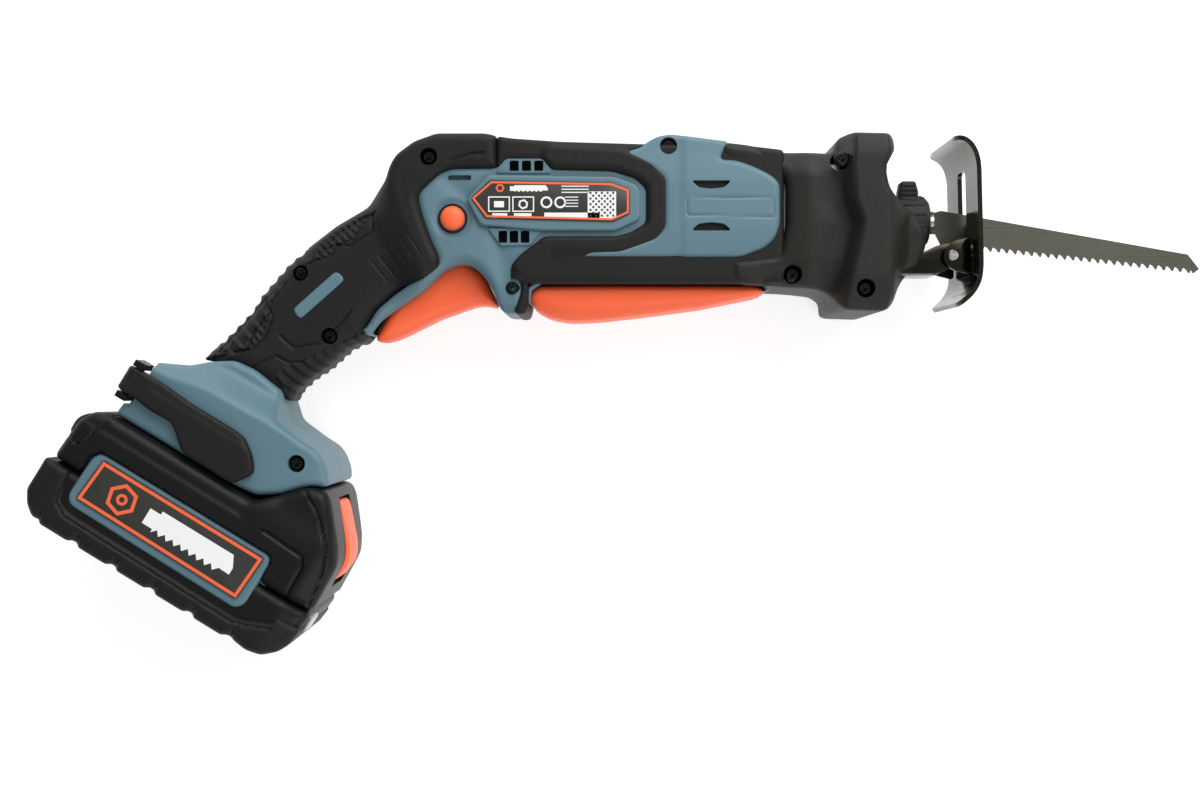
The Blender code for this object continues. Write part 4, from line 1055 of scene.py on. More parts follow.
# black band round the motor cover
def makeBand():
    band = {"top": 26.8, "edge": 2.2, "inner": 20.0}
    line = [
        (-43.8, 112.0), (-43.8, 97.8), (-39.8, 102.0), (-24.2, 102.0), (-20.6, 97.4), (5.0, 96.8),
        (14.5, 93.9), (19.4, 89.5), (19.4, 75.0),
        (13.0, 71.0), (7.0, 69.4), (-23.5, 69.4), (-34.0, 61.5), (-37.8, 57.0), (-37.8, 49.5),
        (-31.2, 49.3), (78.0, 49.3),
        (78.0, 59.9), (78.0, 106.0), (56.5, 108.6), (20.0, 108.5), (-17.5, 109.6), (-37.5, 111.0),
    ]
    loop = evenLoop(line, 2.0, 0.8)
    ridge = [
        (-20.0, 103.5), (8.0, 102.0), (20.0, 97.0), (24.5, 92.0), (24.5, 74.5), (21.0, 70.5), (8.0, 66.4),
        (-22.0, 66.2), (-33.0, 57.5),
    ]

    def top(pts, depth):
        high = band["top"] - edgeFall(depth, band["edge"])
        high -= 1.1 * ease((pathDistance(pts, ridge) - 2.5) / 3.0) * ease((34 - pts[:, 0]) / 8)
        high -= 0.9 * ease((pts[:, 0] - 26) / 8)
        return high

    right = reliefPiece(
        "bodyBandRight", loop, top, lambda p, d: innerRoom(p, np.where(d > 2.2, band["inner"], noBase)),
        skins["rubber"], 0.85,
    )
    left = mirrorPiece(right, "bodyBandLeft")
    carve(right, [well(-37.0, 47.5, 3.9)])
    settle(right, "tool", "black_rubber", "body_band_right")
    settle(left, "tool", "black_rubber", "body_band_left")


makeBand()


def makePostRubber():  # black toe that hangs between the trigger and the front grip
    line = [
        (-34.0, 54.0), (-33.4, 46.0), (-36.6, 37.3), (-34.5, 36.2), (-31.4, 36.6), (-30.2, 41.0),
        (-30.2, 54.0),
    ]
    toe = reliefPiece(
        "postToeRight", evenLoop(line, 1.5, 0.6), roundedAt(25.0, 2.0), flatAt(noBase), skins["rubber"],
        0.9,
    )
    bothSides(toe, "black_rubber", "tool", "body_band")


makePostRubber()
print("band ready")


# nose boot
def makeNose():
    nose = {"half": 38.0, "edge": 3.4, "mouth": 14.5, "lip": 19.5}
    line = [
        (52.5, 109.2), (60.1, 108.4), (78.0, 105.5), (95.5, 105.0), (99.0, 105.5), (100.5, 109.5),
        (102.0, 112.0), (121.5, 111.5),
        (124.5, 109.0), (125.0, 106.0), (122.5, 103.0), (119.0, 97.5), (120.0, 91.0), (121.5, 87.5),
        (125.5, 85.0),
        (132.0, 81.5), (136.5, 77.0), (138.5, 73.5), (139.5, 67.0), (138.0, 60.0), (132.0, 52.0),
        (123.5, 41.0),
        (119.0, 37.0), (103.0, 37.5), (100.5, 39.0), (99.0, 43.5), (94.5, 46.5), (86.5, 47.5), (60.1, 49.0),
        (56.0, 51.5), (56.0, 59.0), (76.5, 61.0), (79.0, 74.0), (79.0, 92.0), (76.0, 98.0), (66.0, 101.5),
        (54.0, 102.5), (50.5, 105.5),
    ]
    loop = evenLoop(line, 2.5, 0.8)
    crease = [
        (107.0, 120.0), (106.0, 96.5), (107.0, 84.0), (110.5, 74.5), (109.0, 67.0), (103.0, 42.0),
        (98.5, 30.0),
    ]
    creaseY, creaseX = zip(*[(y, x) for x, y in crease][::-1])

    def top(pts, depth):
        x, y = pts[:, 0], pts[:, 1]
        edge = np.interp(y, creaseY, creaseX)
        flange = ease((x - edge + 5.5) / 6.0)
        waist = 27.0 + 2.5 * ease((x - 76) / 14) - 1.4 * np.exp(-(((x - edge + 9) / 5) ** 2))
        waist -= 5.5 * ease((np.abs(y - 77) - 17) / 15) * ease((x - 62) / 20)
        block = nose["half"] - 2.2 * ease((np.abs(y - 77) - 24) / 14)
        high = waist + (block - waist) * flange
        cone = np.sqrt(np.clip(nose["lip"] ** 2 - np.clip(np.abs(y - axisY + 3) - 2, 0, 19) ** 2, 16, None))
        high = high + (np.minimum(high, cone + 3) - high) * ease((x - 119.5) / 13.0)
        return high - edgeFall(depth, nose["edge"])

    def base(pts, depth):
        x, y = pts[:, 0], pts[:, 1]
        inner = innerRoom(pts, np.where((depth > 3.5) & (x > 62), 20.5, noBase))
        rise = np.sqrt(np.clip(nose["mouth"] ** 2 - (y - axisY) ** 2, 0, None))
        inner = np.maximum(inner, np.where(x > 104, rise, 0))
        inner = np.maximum(inner, np.where((x > 104) & (y > 84) & (y < 99), 6.0, 0))
        inner = np.maximum(inner, np.where((x > 104) & (y > 53.4) & (y < 60.6), 10.4, 0))
        return np.maximum(inner, np.where((x > 126) & (y > 53.4) & (y < 70.7), 13.4, 0))

    right = reliefPiece("noseBootRight", loop, top, base, skins["boot"], 0.85, smoothAngle=50)
    left = mirrorPiece(right, "noseBootLeft")
    cutters = [well(x, y, 3.9, 12, 32) for x, y in ((101.0, 100.5), (81.5, 53.2), (110.5, 46.5))]
    cutters.append(
        turnedPiece(
            "cutter", [(112, 0), (112, 2.7), (130, 2.7), (130, 0)], skins["black"], (0, 99, 20), (1, 0, 0),
            24,
        )
    )
    carve(right, cutters)
    settle(right, "tool", "black_plastic", "nose_cover_right")
    settle(left, "tool", "black_plastic", "nose_cover_left")


makeNose()
print("nose ready")


# orange front grip, its blue rim, the trigger and the lock button
def makePad():
    pad = {"half": 19.0}
    line = [
        (-30.0, 42.5), (-29.6, 46.0), (-26.0, 49.0), (0.0, 49.2), (66.5, 49.0), (70.5, 47.4), (70.5, 45.6),
        (60.5, 43.5), (43.5, 40.0),
        (17.5, 36.5), (0.0, 34.5), (-13.0, 34.0), (-21.5, 35.5), (-28.0, 39.0),
    ]
    loop = evenLoop(line, 3.0, 0.8)

    def top(pts, depth):
        under = ease((46.5 - pts[:, 1]) / 12)
        return pad["half"] - edgeFall(depth, 3.0) - 4.0 * under * ease((8 - depth) / 8)

    piece = reliefPiece("frontGripPad", loop, top, None, skins["orange"], 0.9, both=True)
    settle(piece, "tool", "orange", "front_grip_pad")


def makePadRim():
    line = [
        (-31.0, 41.5), (-30.8, 47.6), (-26.6, 51.6), (60.0, 51.9), (70.2, 51.5), (73.2, 49.0), (71.6, 46.2),
        (69.6, 46.2), (70.9, 47.3),
        (69.0, 49.3), (60.0, 49.6), (-25.4, 49.4), (-29.2, 46.6), (-29.6, 41.6),
    ]
    rim = reliefPiece(
        "padRimRight", evenLoop(line, 1.0, 0.6), roundedAt(22.6, 0.9), flatAt(noBase), skins["blue"], 0.9,
    )
    bothSides(rim, "slate_blue", "tool", "housing")


def makeTrigger():
    trig = {"half": 11.4, "edge": 5.0}
    loop = evenLoop(triggerShown + triggerHidden, 3.0, 0.7)

    def top(pts, depth):
        return trig["half"] - edgeFall(depth, trig["edge"]) - 0.4 * ease((8 - depth) / 8)

    piece = reliefPiece("triggerBlade", loop, top, None, skins["orange"], 0.8, both=True)
    seat = Vector((-79.0, 52.0, 0.0))
    carve(
        piece,
        [
            turnedPiece(
                "cutter", [(-4, 0), (-4, 3.4), (20, 3.4), (20, 0)], skins["black"], seat, triggerWay, 24,
            )
        ],
    )
    settle(piece, "trigger", "orange", "trigger")


def makeLockButton():
    lock = {"radius": 5.1, "rise": 3.0}
    dome = [
        (25.0 + lock["rise"] * math.sin(t), lock["radius"] * math.cos(t))
        for t in np.linspace(0, math.pi / 2, 9)
    ]
    dome[-1] = (dome[-1][0], 0.0)
    profile = [(-26.4, 0), (-26.4, 4.2), (-25.4, 5.1)] + dome
    button = turnedPiece("lockButton", profile, skins["orange"], (-62.5, 77, 0), (0, 0, 1), 48)
    settle(button, "lock_off", "orange", "lock_off_button")
    collar = turnedPiece(
        "lockCollarRight", [(19, 5.5), (19, 6.3), (24.0, 6.3), (24.3, 6.0), (24.3, 5.5)], skins["rubber"],
        (-62.5, 77, 0), (0, 0, 1), 48,
    )
    bothSides(collar, "black_rubber", "tool", "")


makePad()
makePadRim()
makeTrigger()
makeLockButton()
print("orange pieces ready")


# battery pack
def makePackUpper():
    case = {"half": 38.0, "edge": 5.0}
    line = inPack([
        (-61.0, 8.0), (-57.0, 2.5), (-50.0, 0.3), (19.0, 0.25), (25.6, -6.2), (33.8, -15.8), (41.9, -19.0),
        (46.0, -16.5),
        (59.0, -1.0), (62.6, 6.0), (63.6, 27.8), (-62.0, 27.8),
    ])
    loop = evenLoop(line, 3.0, 0.9)
    panel = [(29.0, 8.0), (48.5, 9.0), (51.0, 13.0), (51.5, 34.0)]
    corner = [(34.0, -15.5), (46.0, -8.0), (55.5, 1.5), (59.0, 11.0), (61.5, 30.0)]
    trim = [(-45.5, 15.2), (37.0, 15.2), (39.0, 18.2), (39.0, 45.0), (-50.0, 45.0), (-48.4, 18.8)]

    def top(pts, depth):
        a, b = packCoords(pts)
        ab = np.column_stack([a, b])
        high = case["half"] - edgeFall(depth, case["edge"])
        high -= 3.2 * ease((a - 52) / 11) + 2.0 * ease((6 - b) / 14) * ease((a - 20) / 10)
        high += groove(ab, panel, 2.4, 1.3) + groove(ab, corner, 1.8, 0.9)
        high -= 0.9 * ease((9.5 - b) / 3.0) * ease((22 - a) / 6)
        high -= 2.4 * ease(depthIn(ab, trim) / 0.8 + 0.5)
        high += groove(ab, [(-63, 18), (-56, 17.5), (-53, 15.0), (-52, 9.0), (-50, 4.0)], 1.6, 0.8)
        return high

    upper = reliefPiece("packCaseUpper", loop, top, None, skins["black"], 0.85, both=True)
    rails = [
        slabPiece(
            "rail", inPack([(-45, -3.2), (22, -3.2), (22, 2.0), (-45, 2.0)]), -15.8, 15.8, skins["black"],
            0.3,
        ),
        slabPiece(
            "rail", inPack([(-45, -7.0), (22, -7.0), (22, -3.1), (-45, -3.1)]), -20.0, 20.0, skins["black"],
            0.4,
        ),
    ]
    carve(upper, rails, "UNION")
    recess = [
        (41.0, -12.4), (49.5, -19.5), (69.0, 1.5), (69.0, 18.4), (52.0, 18.4), (46.5, 5.0), (38.4, -8.4),
        (39.0, -11.5),
    ]
    carve(upper, [slabPiece("cutter", inPack(recess), -12.6, 12.6, skins["black"], 0)])
    settle(upper, "pack", "black_plastic", "pack_upper")


def makePackLower():
    case = {"half": 36.0, "edge": 5.0}
    line = inPack(
        [
            (-62.0, 28.3), (63.6, 28.3), (62.6, 40.0), (59.0, 49.0), (52.0, 52.0), (-57.0, 52.0),
            (-62.0, 47.0),
        ]
    )

    def top(pts, depth):
        a, _ = packCoords(pts)
        return case["half"] - edgeFall(depth, case["edge"]) - 2.6 * ease((a - 50) / 12)

    lower = reliefPiece(
        "packCaseLower", evenLoop(line, 3.5, 0.9), top, None, skins["black"], 1.0, both=True,
    )
    window = slabPiece(
        "cutter", inPack([(55, 31.0), (72, 31.0), (72, 40.0), (55, 40.0)]), 5.5, 26.5, skins["black"], 0,
    )
    carve(lower, [window])
    settle(lower, "pack", "black_plastic", "pack_lower")


def makeBumper():
    skirt = {"half": 38.0, "edge": 3.0, "ribs": 5, "first": -54.0, "run": 94.0}
    line = [(-64.4, 29.2), (-64.4, 45.0), (-61.0, 50.5), (-57.5, 53.6), (-54.5, 54.0)]
    step = skirt["run"] / skirt["ribs"]
    for k in range(skirt["ribs"]):
        start = skirt["first"] + step * k
        line += [(start, 54.0), (start + 1.5, 55.0), (start + step - 3.5, 55.0), (start + step - 2.0, 53.6)]
    line += [
        (48.0, 55.0), (55.0, 53.6), (60.0, 49.0), (62.6, 44.0), (63.5, 36.0), (52.5, 36.0), (51.5, 39.5),
        (42.5, 43.6), (38.0, 45.0), (-44.5, 43.6), (-49.5, 41.5), (-50.8, 36.0), (-52.5, 29.2),
    ]
    loop = evenLoop(inPack(line), 1.6, 0.8)
    lip = [(-52.0, 33.0), (-50.5, 43.0), (-45.0, 46.2), (37.5, 47.4), (43.5, 45.6), (53.0, 41.5)]

    def top(pts, depth):
        a, b = packCoords(pts)
        ab = np.column_stack([a, b])
        high = skirt["half"] - edgeFall(depth, skirt["edge"])
        phase = (a - skirt["first"]) / step
        valley = np.abs(phase - np.round(phase)) * step
        inRun = ease((a + 57) / 2) * ease((44 - a) / 2)
        high -= 1.5 * ease(1 - valley / 2.4) * ease((b - 48.0) / 2.0) * inRun
        high -= 1.0 * ease((b - 49.0) / 5.0)
        high -= 2.4 * ease((a - 50) / 12) + 0.6 * ease((-56 - a) / 4)
        high += groove(ab, lip, 1.8, 0.9)
        return high

    skirtPiece = reliefPiece("packSkirt", loop, top, None, skins["rubber"], 0.8, both=True)
    settle(skirtPiece, "pack", "black_rubber", "pack_bumper")


def makePackEars():  # the bump on the pack's rear edge
    line = [
        (-62.6, 9.5), (-60.5, 6.0), (-55.0, 2.0), (-50.5, -0.5), (-47.0, 1.5), (-46, 6), (-56, 16),
        (-62.4, 16),
    ]
    ear = reliefPiece(
        "packEar", evenLoop(inPack(line), 2.0, 0.8), roundedAt(35.2, 3.0), None, skins["rubber"], 1.1,
        both=True,
    )
    settle(ear, "pack", "black_rubber")


def makePackTrim():
    trim = {"top": 36.9, "low": 33.0}
    line = inPack(
        [
            (-45.0, 15.8), (36.6, 15.8), (38.4, 18.6), (38.4, 38.6), (35.6, 42.2), (-45.5, 41.2),
            (-48.2, 38.0), (-47.6, 19.0),
        ]
    )

    right = reliefPiece(
        "packTrimRight", evenLoop(line, 2.5, 0.8), roundedAt(trim["top"], 1.4), flatAt(trim["low"]),
        skins["blue"], 1.2,
    )
    bothSides(right, "slate_blue", "pack", "pack_trim")


def makeReleaseButton():
    button = {"half": 12.0}
    line = [
        (41.8, -12.0), (44.2, -14.0), (47.0, -15.0), (50.0, -12.5), (60.5, -1.0), (63.2, 3.5), (64.0, 7.0),
        (63.2, 15.2), (58.0, 15.2), (58.0, 5.0), (54.0, -1.0),
    ]

    piece = reliefPiece(
        "releaseButton", evenLoop(inPack(line), 1.5, 0.6), roundedAt(button["half"], 2.0), None,
        skins["orange"], 0.8, both=True,
    )
    settle(piece, "release", "orange", "release_button")


def makeGauge():
    window = slabPiece(
        "gaugeWindow", evenLoop(inPack([(56.0, 31.5), (64.2, 31.5), (64.2, 39.5), (56.0, 39.5)]), 1.5, 0.5),
        6.0, 26.0, skins["window"], 0.8, 3,
    )
    settle(window, "gauge", "clear_lens", "gauge_button")


makePackUpper()
makePackLower()
makeBumper()
makePackEars()
makePackTrim()
makeReleaseButton()
makeGauge()
print("pack ready")


# labels: a plain border, a hexagon mark, a blade pictogram and bars, with no lettering
def borderLoop(outer, width, low, high, skin, name):
    outer = leftTurning(outer)
    count = len(outer)
    after, before = np.roll(outer, -1, axis=0), np.roll(outer, 1, axis=0)
    first = (outer - before) / np.linalg.norm(outer - before, axis=1)[:, None]
    second = (after - outer) / np.linalg.norm(after - outer, axis=1)[:, None]
    normal = np.column_stack([-(first[:, 1] + second[:, 1]), first[:, 0] + second[:, 0]])
    normal /= np.linalg.norm(normal, axis=1)[:, None]
    spread = np.maximum(0.5, (normal * np.column_stack([-first[:, 1], first[:, 0]])).sum(axis=1))
    inner = outer + normal * (width / spread)[:, None]
    verts = []
    for z in (low, high):
        verts += [world(x, y, z) for x, y in outer] + [world(x, y, z) for x, y in inner]
    faces = []
    for i in range(count):
        j = (i + 1) % count
        faces += [
            (i + 2 * count, j + 2 * count, j + 3 * count, i + 3 * count), (i, i + count, j + count, j),
            (i, j, j + 2 * count, i + 2 * count), (i + count, i + 3 * count, j + 3 * count, j + count),
        ]
    return meshObject(name, verts, faces, skin)


def bladeIcon(start, end, height, teeth):  # a plain saw blade, as an outline
    start, end = np.array(start, float), np.array(end, float)
    way = (end - start) / np.linalg.norm(end - start)
    up = np.array([-way[1], way[0]])
    length = np.linalg.norm(end - start)
    line = [
        start + up * height * 0.35, start - up * height * 0.35,
        start + way * length * 0.12 - up * height * 0.35,
    ]
    for k in range(teeth):
        x = length * (0.12 + 0.8 * k / teeth)
        line.append(start + way * x - up * height * 0.5)
        line.append(start + way * (x + 0.55 * 0.8 * length / teeth) - up * height * 0.28)
    line += [
        end - up * height * 0.3, end + up * height * 0.02, end - way * length * 0.06 + up * height * 0.5,
    ]
    line += [
        start + way * length * 0.12 + up * height * 0.5, start + way * length * 0.12 + up * height * 0.35,
    ]
    return line


def hexagon(centre, radius, turn=0.0):
    return [
        (
            centre[0] + radius * math.cos(turn + k * math.pi / 3),
            centre[1] + radius * math.sin(turn + k * math.pi / 3),
        )
        for k in range(6)
    ]


# Geometry Nodes put one shape on each point
def pointTree(name, inputs):
    tree = bpy.data.node_groups.new(name, "GeometryNodeTree")
    tree.interface.new_socket("Geometry", in_out="INPUT", socket_type="NodeSocketGeometry")
    for label, kind, value in inputs:
        socket = tree.interface.new_socket(label, in_out="INPUT", socket_type=kind)
        if value is not None:
            socket.default_value = value
    tree.interface.new_socket("Geometry", in_out="OUTPUT", socket_type="NodeSocketGeometry")
    return tree, tree.nodes.new("NodeGroupInput"), tree.nodes.new("NodeGroupOutput")


def finishTree(tree, given, out, shape, turn=None):
    instances = place(
        tree, "GeometryNodeInstanceOnPoints", ("Points", given.outputs["Geometry"]), ("Instance", shape),
    )
    if turn is not None:
        link(tree, turn, instances.inputs["Rotation"])
    real = place(tree, "GeometryNodeRealizeInstances", ("Geometry", instances.outputs["Instances"]))
    dyed = place(
        tree, "GeometryNodeSetMaterial", ("Geometry", real.outputs["Geometry"]),
        ("Material", given.outputs["Skin"]),
    )
    link(tree, dyed.outputs["Geometry"], out.inputs["Geometry"])


def blockTree():  # a flat block on each point, for printed bars and dots
    tree, given, out = pointTree("printedBlocks", [
        ("Size", "NodeSocketVector", (0.002, 0.001, 0.0002)), ("Turn", "NodeSocketVector", (0, 0, 0)),
        ("Skin", "NodeSocketMaterial", None),
    ])
    block = place(tree, "GeometryNodeMeshCube", ("Size", given.outputs["Size"]))
    finishTree(tree, given, out, block.outputs["Mesh"], given.outputs["Turn"])
    return tree


def screwTree():  # a domed screw head with a six-pointed recess on each point
    head = {
        "sides": 32, "rings": 24, "domeRatio": 1.12, "domeDrop": -0.0017, "recessRatio": 0.68,
        "plug": 0.004, "rim": 0.0012,
    }
    tree, given, out = pointTree("screwHeads", [
        ("Head Radius", "NodeSocketFloat", 0.0032), ("Head Depth", "NodeSocketFloat", 0.0024),
        ("Recess Radius", "NodeSocketFloat", 0.0017), ("Recess Depth", "NodeSocketFloat", 0.0014),
        ("Skin", "NodeSocketMaterial", None),
    ])

    def share(source, ratio):
        made = place(tree, "ShaderNodeMath", (0, source), operation="MULTIPLY")
        made.inputs[1].default_value = ratio
        return made.outputs[0]

    barrel = place(
        tree, "GeometryNodeMeshCylinder", ("Radius", given.outputs["Head Radius"]),
        ("Depth", given.outputs["Head Depth"]), Vertices=head["sides"],
    )
    dome = place(
        tree, "GeometryNodeMeshUVSphere",
        ("Radius", share(given.outputs["Head Radius"], head["domeRatio"])),
        Segments=head["sides"], Rings=head["rings"],
    )
    low = place(
        tree, "GeometryNodeTransform", ("Geometry", dome.outputs["Mesh"]),
        Translation=(0, 0, head["domeDrop"]),
    )
    domed = place(
        tree, "GeometryNodeMeshBoolean", ("Mesh 2", barrel.outputs["Mesh"]),
        ("Mesh 2", low.outputs["Geometry"]),
        operation="INTERSECT",
    )
    star = place(
        tree, "GeometryNodeCurveStar", ("Outer Radius", given.outputs["Recess Radius"]),
        ("Inner Radius", share(given.outputs["Recess Radius"], head["recessRatio"])), Points=6,
    )
    fill = place(tree, "GeometryNodeFillCurve", ("Curve", star.outputs["Curve"]))
    lift = place(tree, "GeometryNodeExtrudeMesh", ("Mesh", fill.outputs["Mesh"]), Offset_Scale=head["plug"])
    fall = place(tree, "ShaderNodeMath", (0, given.outputs["Recess Depth"]), operation="MULTIPLY_ADD")
    fall.inputs[1].default_value = -1.0
    fall.inputs[2].default_value = head["rim"]
    sunk = place(tree, "ShaderNodeCombineXYZ", ("Z", fall.outputs[0])).outputs["Vector"]
    upper = place(tree, "GeometryNodeTransform", ("Geometry", lift.outputs["Mesh"]), ("Translation", sunk))
    turned = place(tree, "GeometryNodeFlipFaces", ("Mesh", fill.outputs["Mesh"]))
    lower = place(
        tree, "GeometryNodeTransform", ("Geometry", turned.outputs["Mesh"]), ("Translation", sunk),
    )
    plug = place(
        tree, "GeometryNodeJoinGeometry", ("Geometry", lower.outputs["Geometry"]),
        ("Geometry", upper.outputs["Geometry"]),
    )
    sewn = place(tree, "GeometryNodeMergeByDistance", ("Geometry", plug.outputs["Geometry"]), Distance=1e-6)
    cutOut = place(
        tree, "GeometryNodeMeshBoolean", ("Mesh 1", domed.outputs["Mesh"]),
        ("Mesh 2", sewn.outputs["Geometry"]),
        operation="DIFFERENCE",
    )
    finishTree(tree, given, out, cutOut.outputs["Mesh"])
    return tree


def onPoints(name, tree, points, smoothAngle=38, **values):
    mesh = bpy.data.meshes.new(name)
    mesh.from_pydata([tuple(p) for p in points], [], [])
    made = bpy.data.objects.new(name, mesh)
    scene.collection.objects.link(made)
    grown = made.modifiers.new("repeat", "NODES")
    grown.node_group = tree
    sockets = {item.name: item.identifier for item in tree.interface.items_tree if item.in_out == "INPUT"}
    for label, value in values.items():
        grown[sockets[label.replace("_", " ")]] = value
    graph = bpy.context.evaluated_depsgraph_get()
    shaped = bpy.data.meshes.new_from_object(made.evaluated_get(graph))
    made.modifiers.clear()
    made.data = shaped
    shadeByAngle(made, smoothAngle)
    return made


blocks = blockTree()
screwHeads = screwTree()


def printedBars(name, bars, z, skin):  # rows of flat bars: (centres, width, height)
    pieces = []
    for centres, wide, tall in bars:
        made = onPoints(
            name, blocks, [world(x, y, z) for x, y in centres], Size=(wide * mm, tall * mm, 0.12 * mm),
            Turn=(0.0, 0.0, 0.0), Skin=skin,
        )
        pieces.append(made)
    row = joined(name, pieces) if len(pieces) > 1 else pieces[0]
    return row


def circleLoop(x, y, radius, steps=24):
    return [
        (x + radius * math.cos(t), y + radius * math.sin(t))
        for t in np.linspace(0, 2 * math.pi, steps, endpoint=False)
    ]


def makeBodyLabel():
    label = {"low": 26.35, "top": 26.95, "inkTop": 27.1, "ink": 0.06, "sunk": 0.1}
    outer = [
        (-54.6, 85.3), (-46.4, 92.9), (5.0, 92.0), (12.6, 89.0), (12.6, 78.6), (5.5, 75.2), (-48.4, 76.6),
    ]
    plate = slabPiece(
        "bodyLabelRight", evenLoop(outer, 0.8, 0.8), label["low"], label["top"], skins["label"], 0.15,
    )
    bothSides(plate, "label_grey", "tool", "body_label")
    inner = (np.array(outer) - np.mean(outer, axis=0)) * np.array([0.985, 0.93]) + np.mean(outer, axis=0)
    border = borderLoop(
        inner, 0.85, label["low"], label["inkTop"], skins["orangePrint"], "bodyLabelBorderRight",
    )
    bothSides(border, "orange", "tool", "body_label")
    z = label["top"] + label["ink"]
    inkLow, inkHigh = label["top"] - label["sunk"], z + label["ink"]

    def ring(loop, width, skin="print"):
        return borderLoop(loop, width, inkLow, inkHigh, skins[skin], "ring")

    mark = joined("bodyMarkRight", [ring(hexagon((-42.2, 89.4), 1.9), 0.7, "orangePrint")])
    bothSides(mark, "orange", "tool", "body_label")
    icon = slabPiece(
        "bodyIconRight", bladeIcon((-38.0, 89.2), (-22.0, 89.2), 2.8, 7), inkLow, inkHigh, skins["print"],
        0,
    )
    bars = [
        ([(-11.8, 77.9)], 23.4, 2.3), ([(-32.6, 77.9)], 7.4, 1.8), ([(-42.3, 77.9)], 6.4, 1.8),
        ([(-42.6, 82.6)], 4.2, 2.6),
    ]
    white = printedBars("bodyBarsRight", bars, z, skins["print"])
    rings = [ring(boxLoop(x, 79.4, x + 9.2, 85.9), 0.5) for x in (-47.2, -37.0)]
    rings.append(ring(hexagon((-32.4, 82.6), 2.2, 0.3), 0.7))
    rings += [ring(circleLoop(x, 83.4, 2.5), 0.8) for x in (-22.6, -16.8)]
    field = slabPiece("field", boxLoop(-5.2, 76.6, 6.8, 88.0), inkLow, inkHigh, skins["print"], 0)
    white = joined("bodyPrintRight", [white, icon, field] + rings)
    bothSides(white, "label_grey", "tool", "body_label")
    lines = [
        ([(-10.5, 90.2), (-10.5, 88.9), (-10.5, 87.6)], 11.5, 0.45),
        ([(-12.0, 85.6), (-12.0, 84.3), (-12.0, 83.0), (-12.0, 81.7)], 5.6, 0.4),
    ]
    bothSides(
        printedBars("bodyFinePrintRight", lines, z, skins["greyPrint"]), "label_grey", "tool", "body_label",
    )
    checks = [(-4.0 + 1.2 * i, 77.8 + 1.2 * j) for i in range(9) for j in range(9) if (i + j) % 2 == 0]
    dots = printedBars("bodyDotGridRight", [(checks, 0.85, 0.85)], z + label["sunk"], skins["label"])
    bothSides(dots, "label_grey", "tool", "body_label")


def makePackLabel():
    label = {"low": 36.4, "top": 37.75, "sunk": 0.1, "ink": 0.16}
    outer = inPack([(-42.8, 17.6), (35.6, 17.6), (34.4, 38.4), (-44.4, 37.4)])
    plate = slabPiece(
        "packLabelRight", evenLoop(outer, 1.2, 0.8), label["low"], label["top"], skins["label"], 0.15,
    )
    bothSides(plate, "label_grey", "pack", "pack_label")
    inkLow, inkHigh = label["top"] - label["sunk"], label["top"] + label["ink"]
    edge = inPack([(-42.2, 18.2), (35.0, 18.2), (33.9, 37.8), (-43.7, 36.8)])
    border = borderLoop(edge, 1.35, label["low"], inkHigh, skins["orangePrint"], "packLabelBorderRight")
    bothSides(border, "orange", "pack", "pack_label")
    centre = inPack([(-27.5, 27.7)])[0]
    ring = borderLoop(hexagon(centre, 6.9, 0.2), 1.5, inkLow, inkHigh, skins["orangePrint"], "packMark")
    hub = borderLoop(circleLoop(*centre, 2.4), 1.2, inkLow, inkHigh, skins["orangePrint"], "packHub")
    bothSides(joined("packMarkRight", [ring, hub]), "orange", "pack", "pack_label")
    blade = bladeIcon(*inPack([(-15.5, 28.0), (26.5, 28.0)]), 10.0, 9)
    icon = slabPiece("packIconRight", blade, inkLow, inkHigh, skins["print"], 0)
    bothSides(icon, "label_grey", "pack", "pack_label")


makeBodyLabel()
makePackLabel()
print("labels ready")


# hang hook
def makeHook():
    hook = {"low": 33.1, "high": 37.7}
    line = [
        (-50.5, -10.8), (-49.8, -21.6), (-47.0, -22.2), (-38.0, -22.0), (-25.0, -21.0), (-3.0, -21.0),
        (2.0, -20.5), (8.5, -16.0), (12.5, -11.0),
        (12.5, -8.5), (7.5, -1.2), (-17.0, -1.7), (-22.5, -6.5), (-27.0, -10.0), (-37.5, -9.5),
        (-45.5, -10.6),
    ]
    loop = evenLoop(inPack(line), 2.2, 0.7)

    def top(pts, depth):
        a, b = packCoords(pts)
        return hook["high"] - edgeFall(depth, 1.8) - 0.5 * ease((-16 - b) / 3) * ease((a + 44) / 4)

    arm = reliefPiece(
        "hangHook", loop, top, lambda p, d: hook["low"] + 1.2 * ease((0.6 - d) / 0.6), skins["rubber"], 0.8,
    )
    start = packZero + packAlong * -50.6 + packDown * -21.4 + Vector((0, 0, 33.7))
    barrel = turnedPiece(
        "knuckle", [(0, 0), (0, 3.4), (0.6, 4.0), (10.0, 4.0), (10.6, 3.4), (10.6, 0)], skins["rubber"],
        start, packDown, 36,
    )
    carve(arm, [barrel], "UNION")
    carve(
        arm,
        [
            turnedPiece(
                "cutter", [(-5, 0), (-5, 1.95), (20, 1.95), (20, 0)], skins["rubber"], start, packDown, 24,
            )
        ],
    )
    settle(arm, "hook", "black_plastic", "hang_hook")
    pin = turnedPiece(
        "hookPin",
        [
            (-3.6, 0), (-3.6, 2.0), (-3.2, 2.4), (-2.6, 2.4), (-2.6, 1.6), (13.4, 1.6), (13.8, 1.2),
            (13.8, 0),
        ],
        skins["screwSteel"], start, packDown, 32,
    )
    settle(pin, "tool", "steel", "hook_pin")


makeHook()


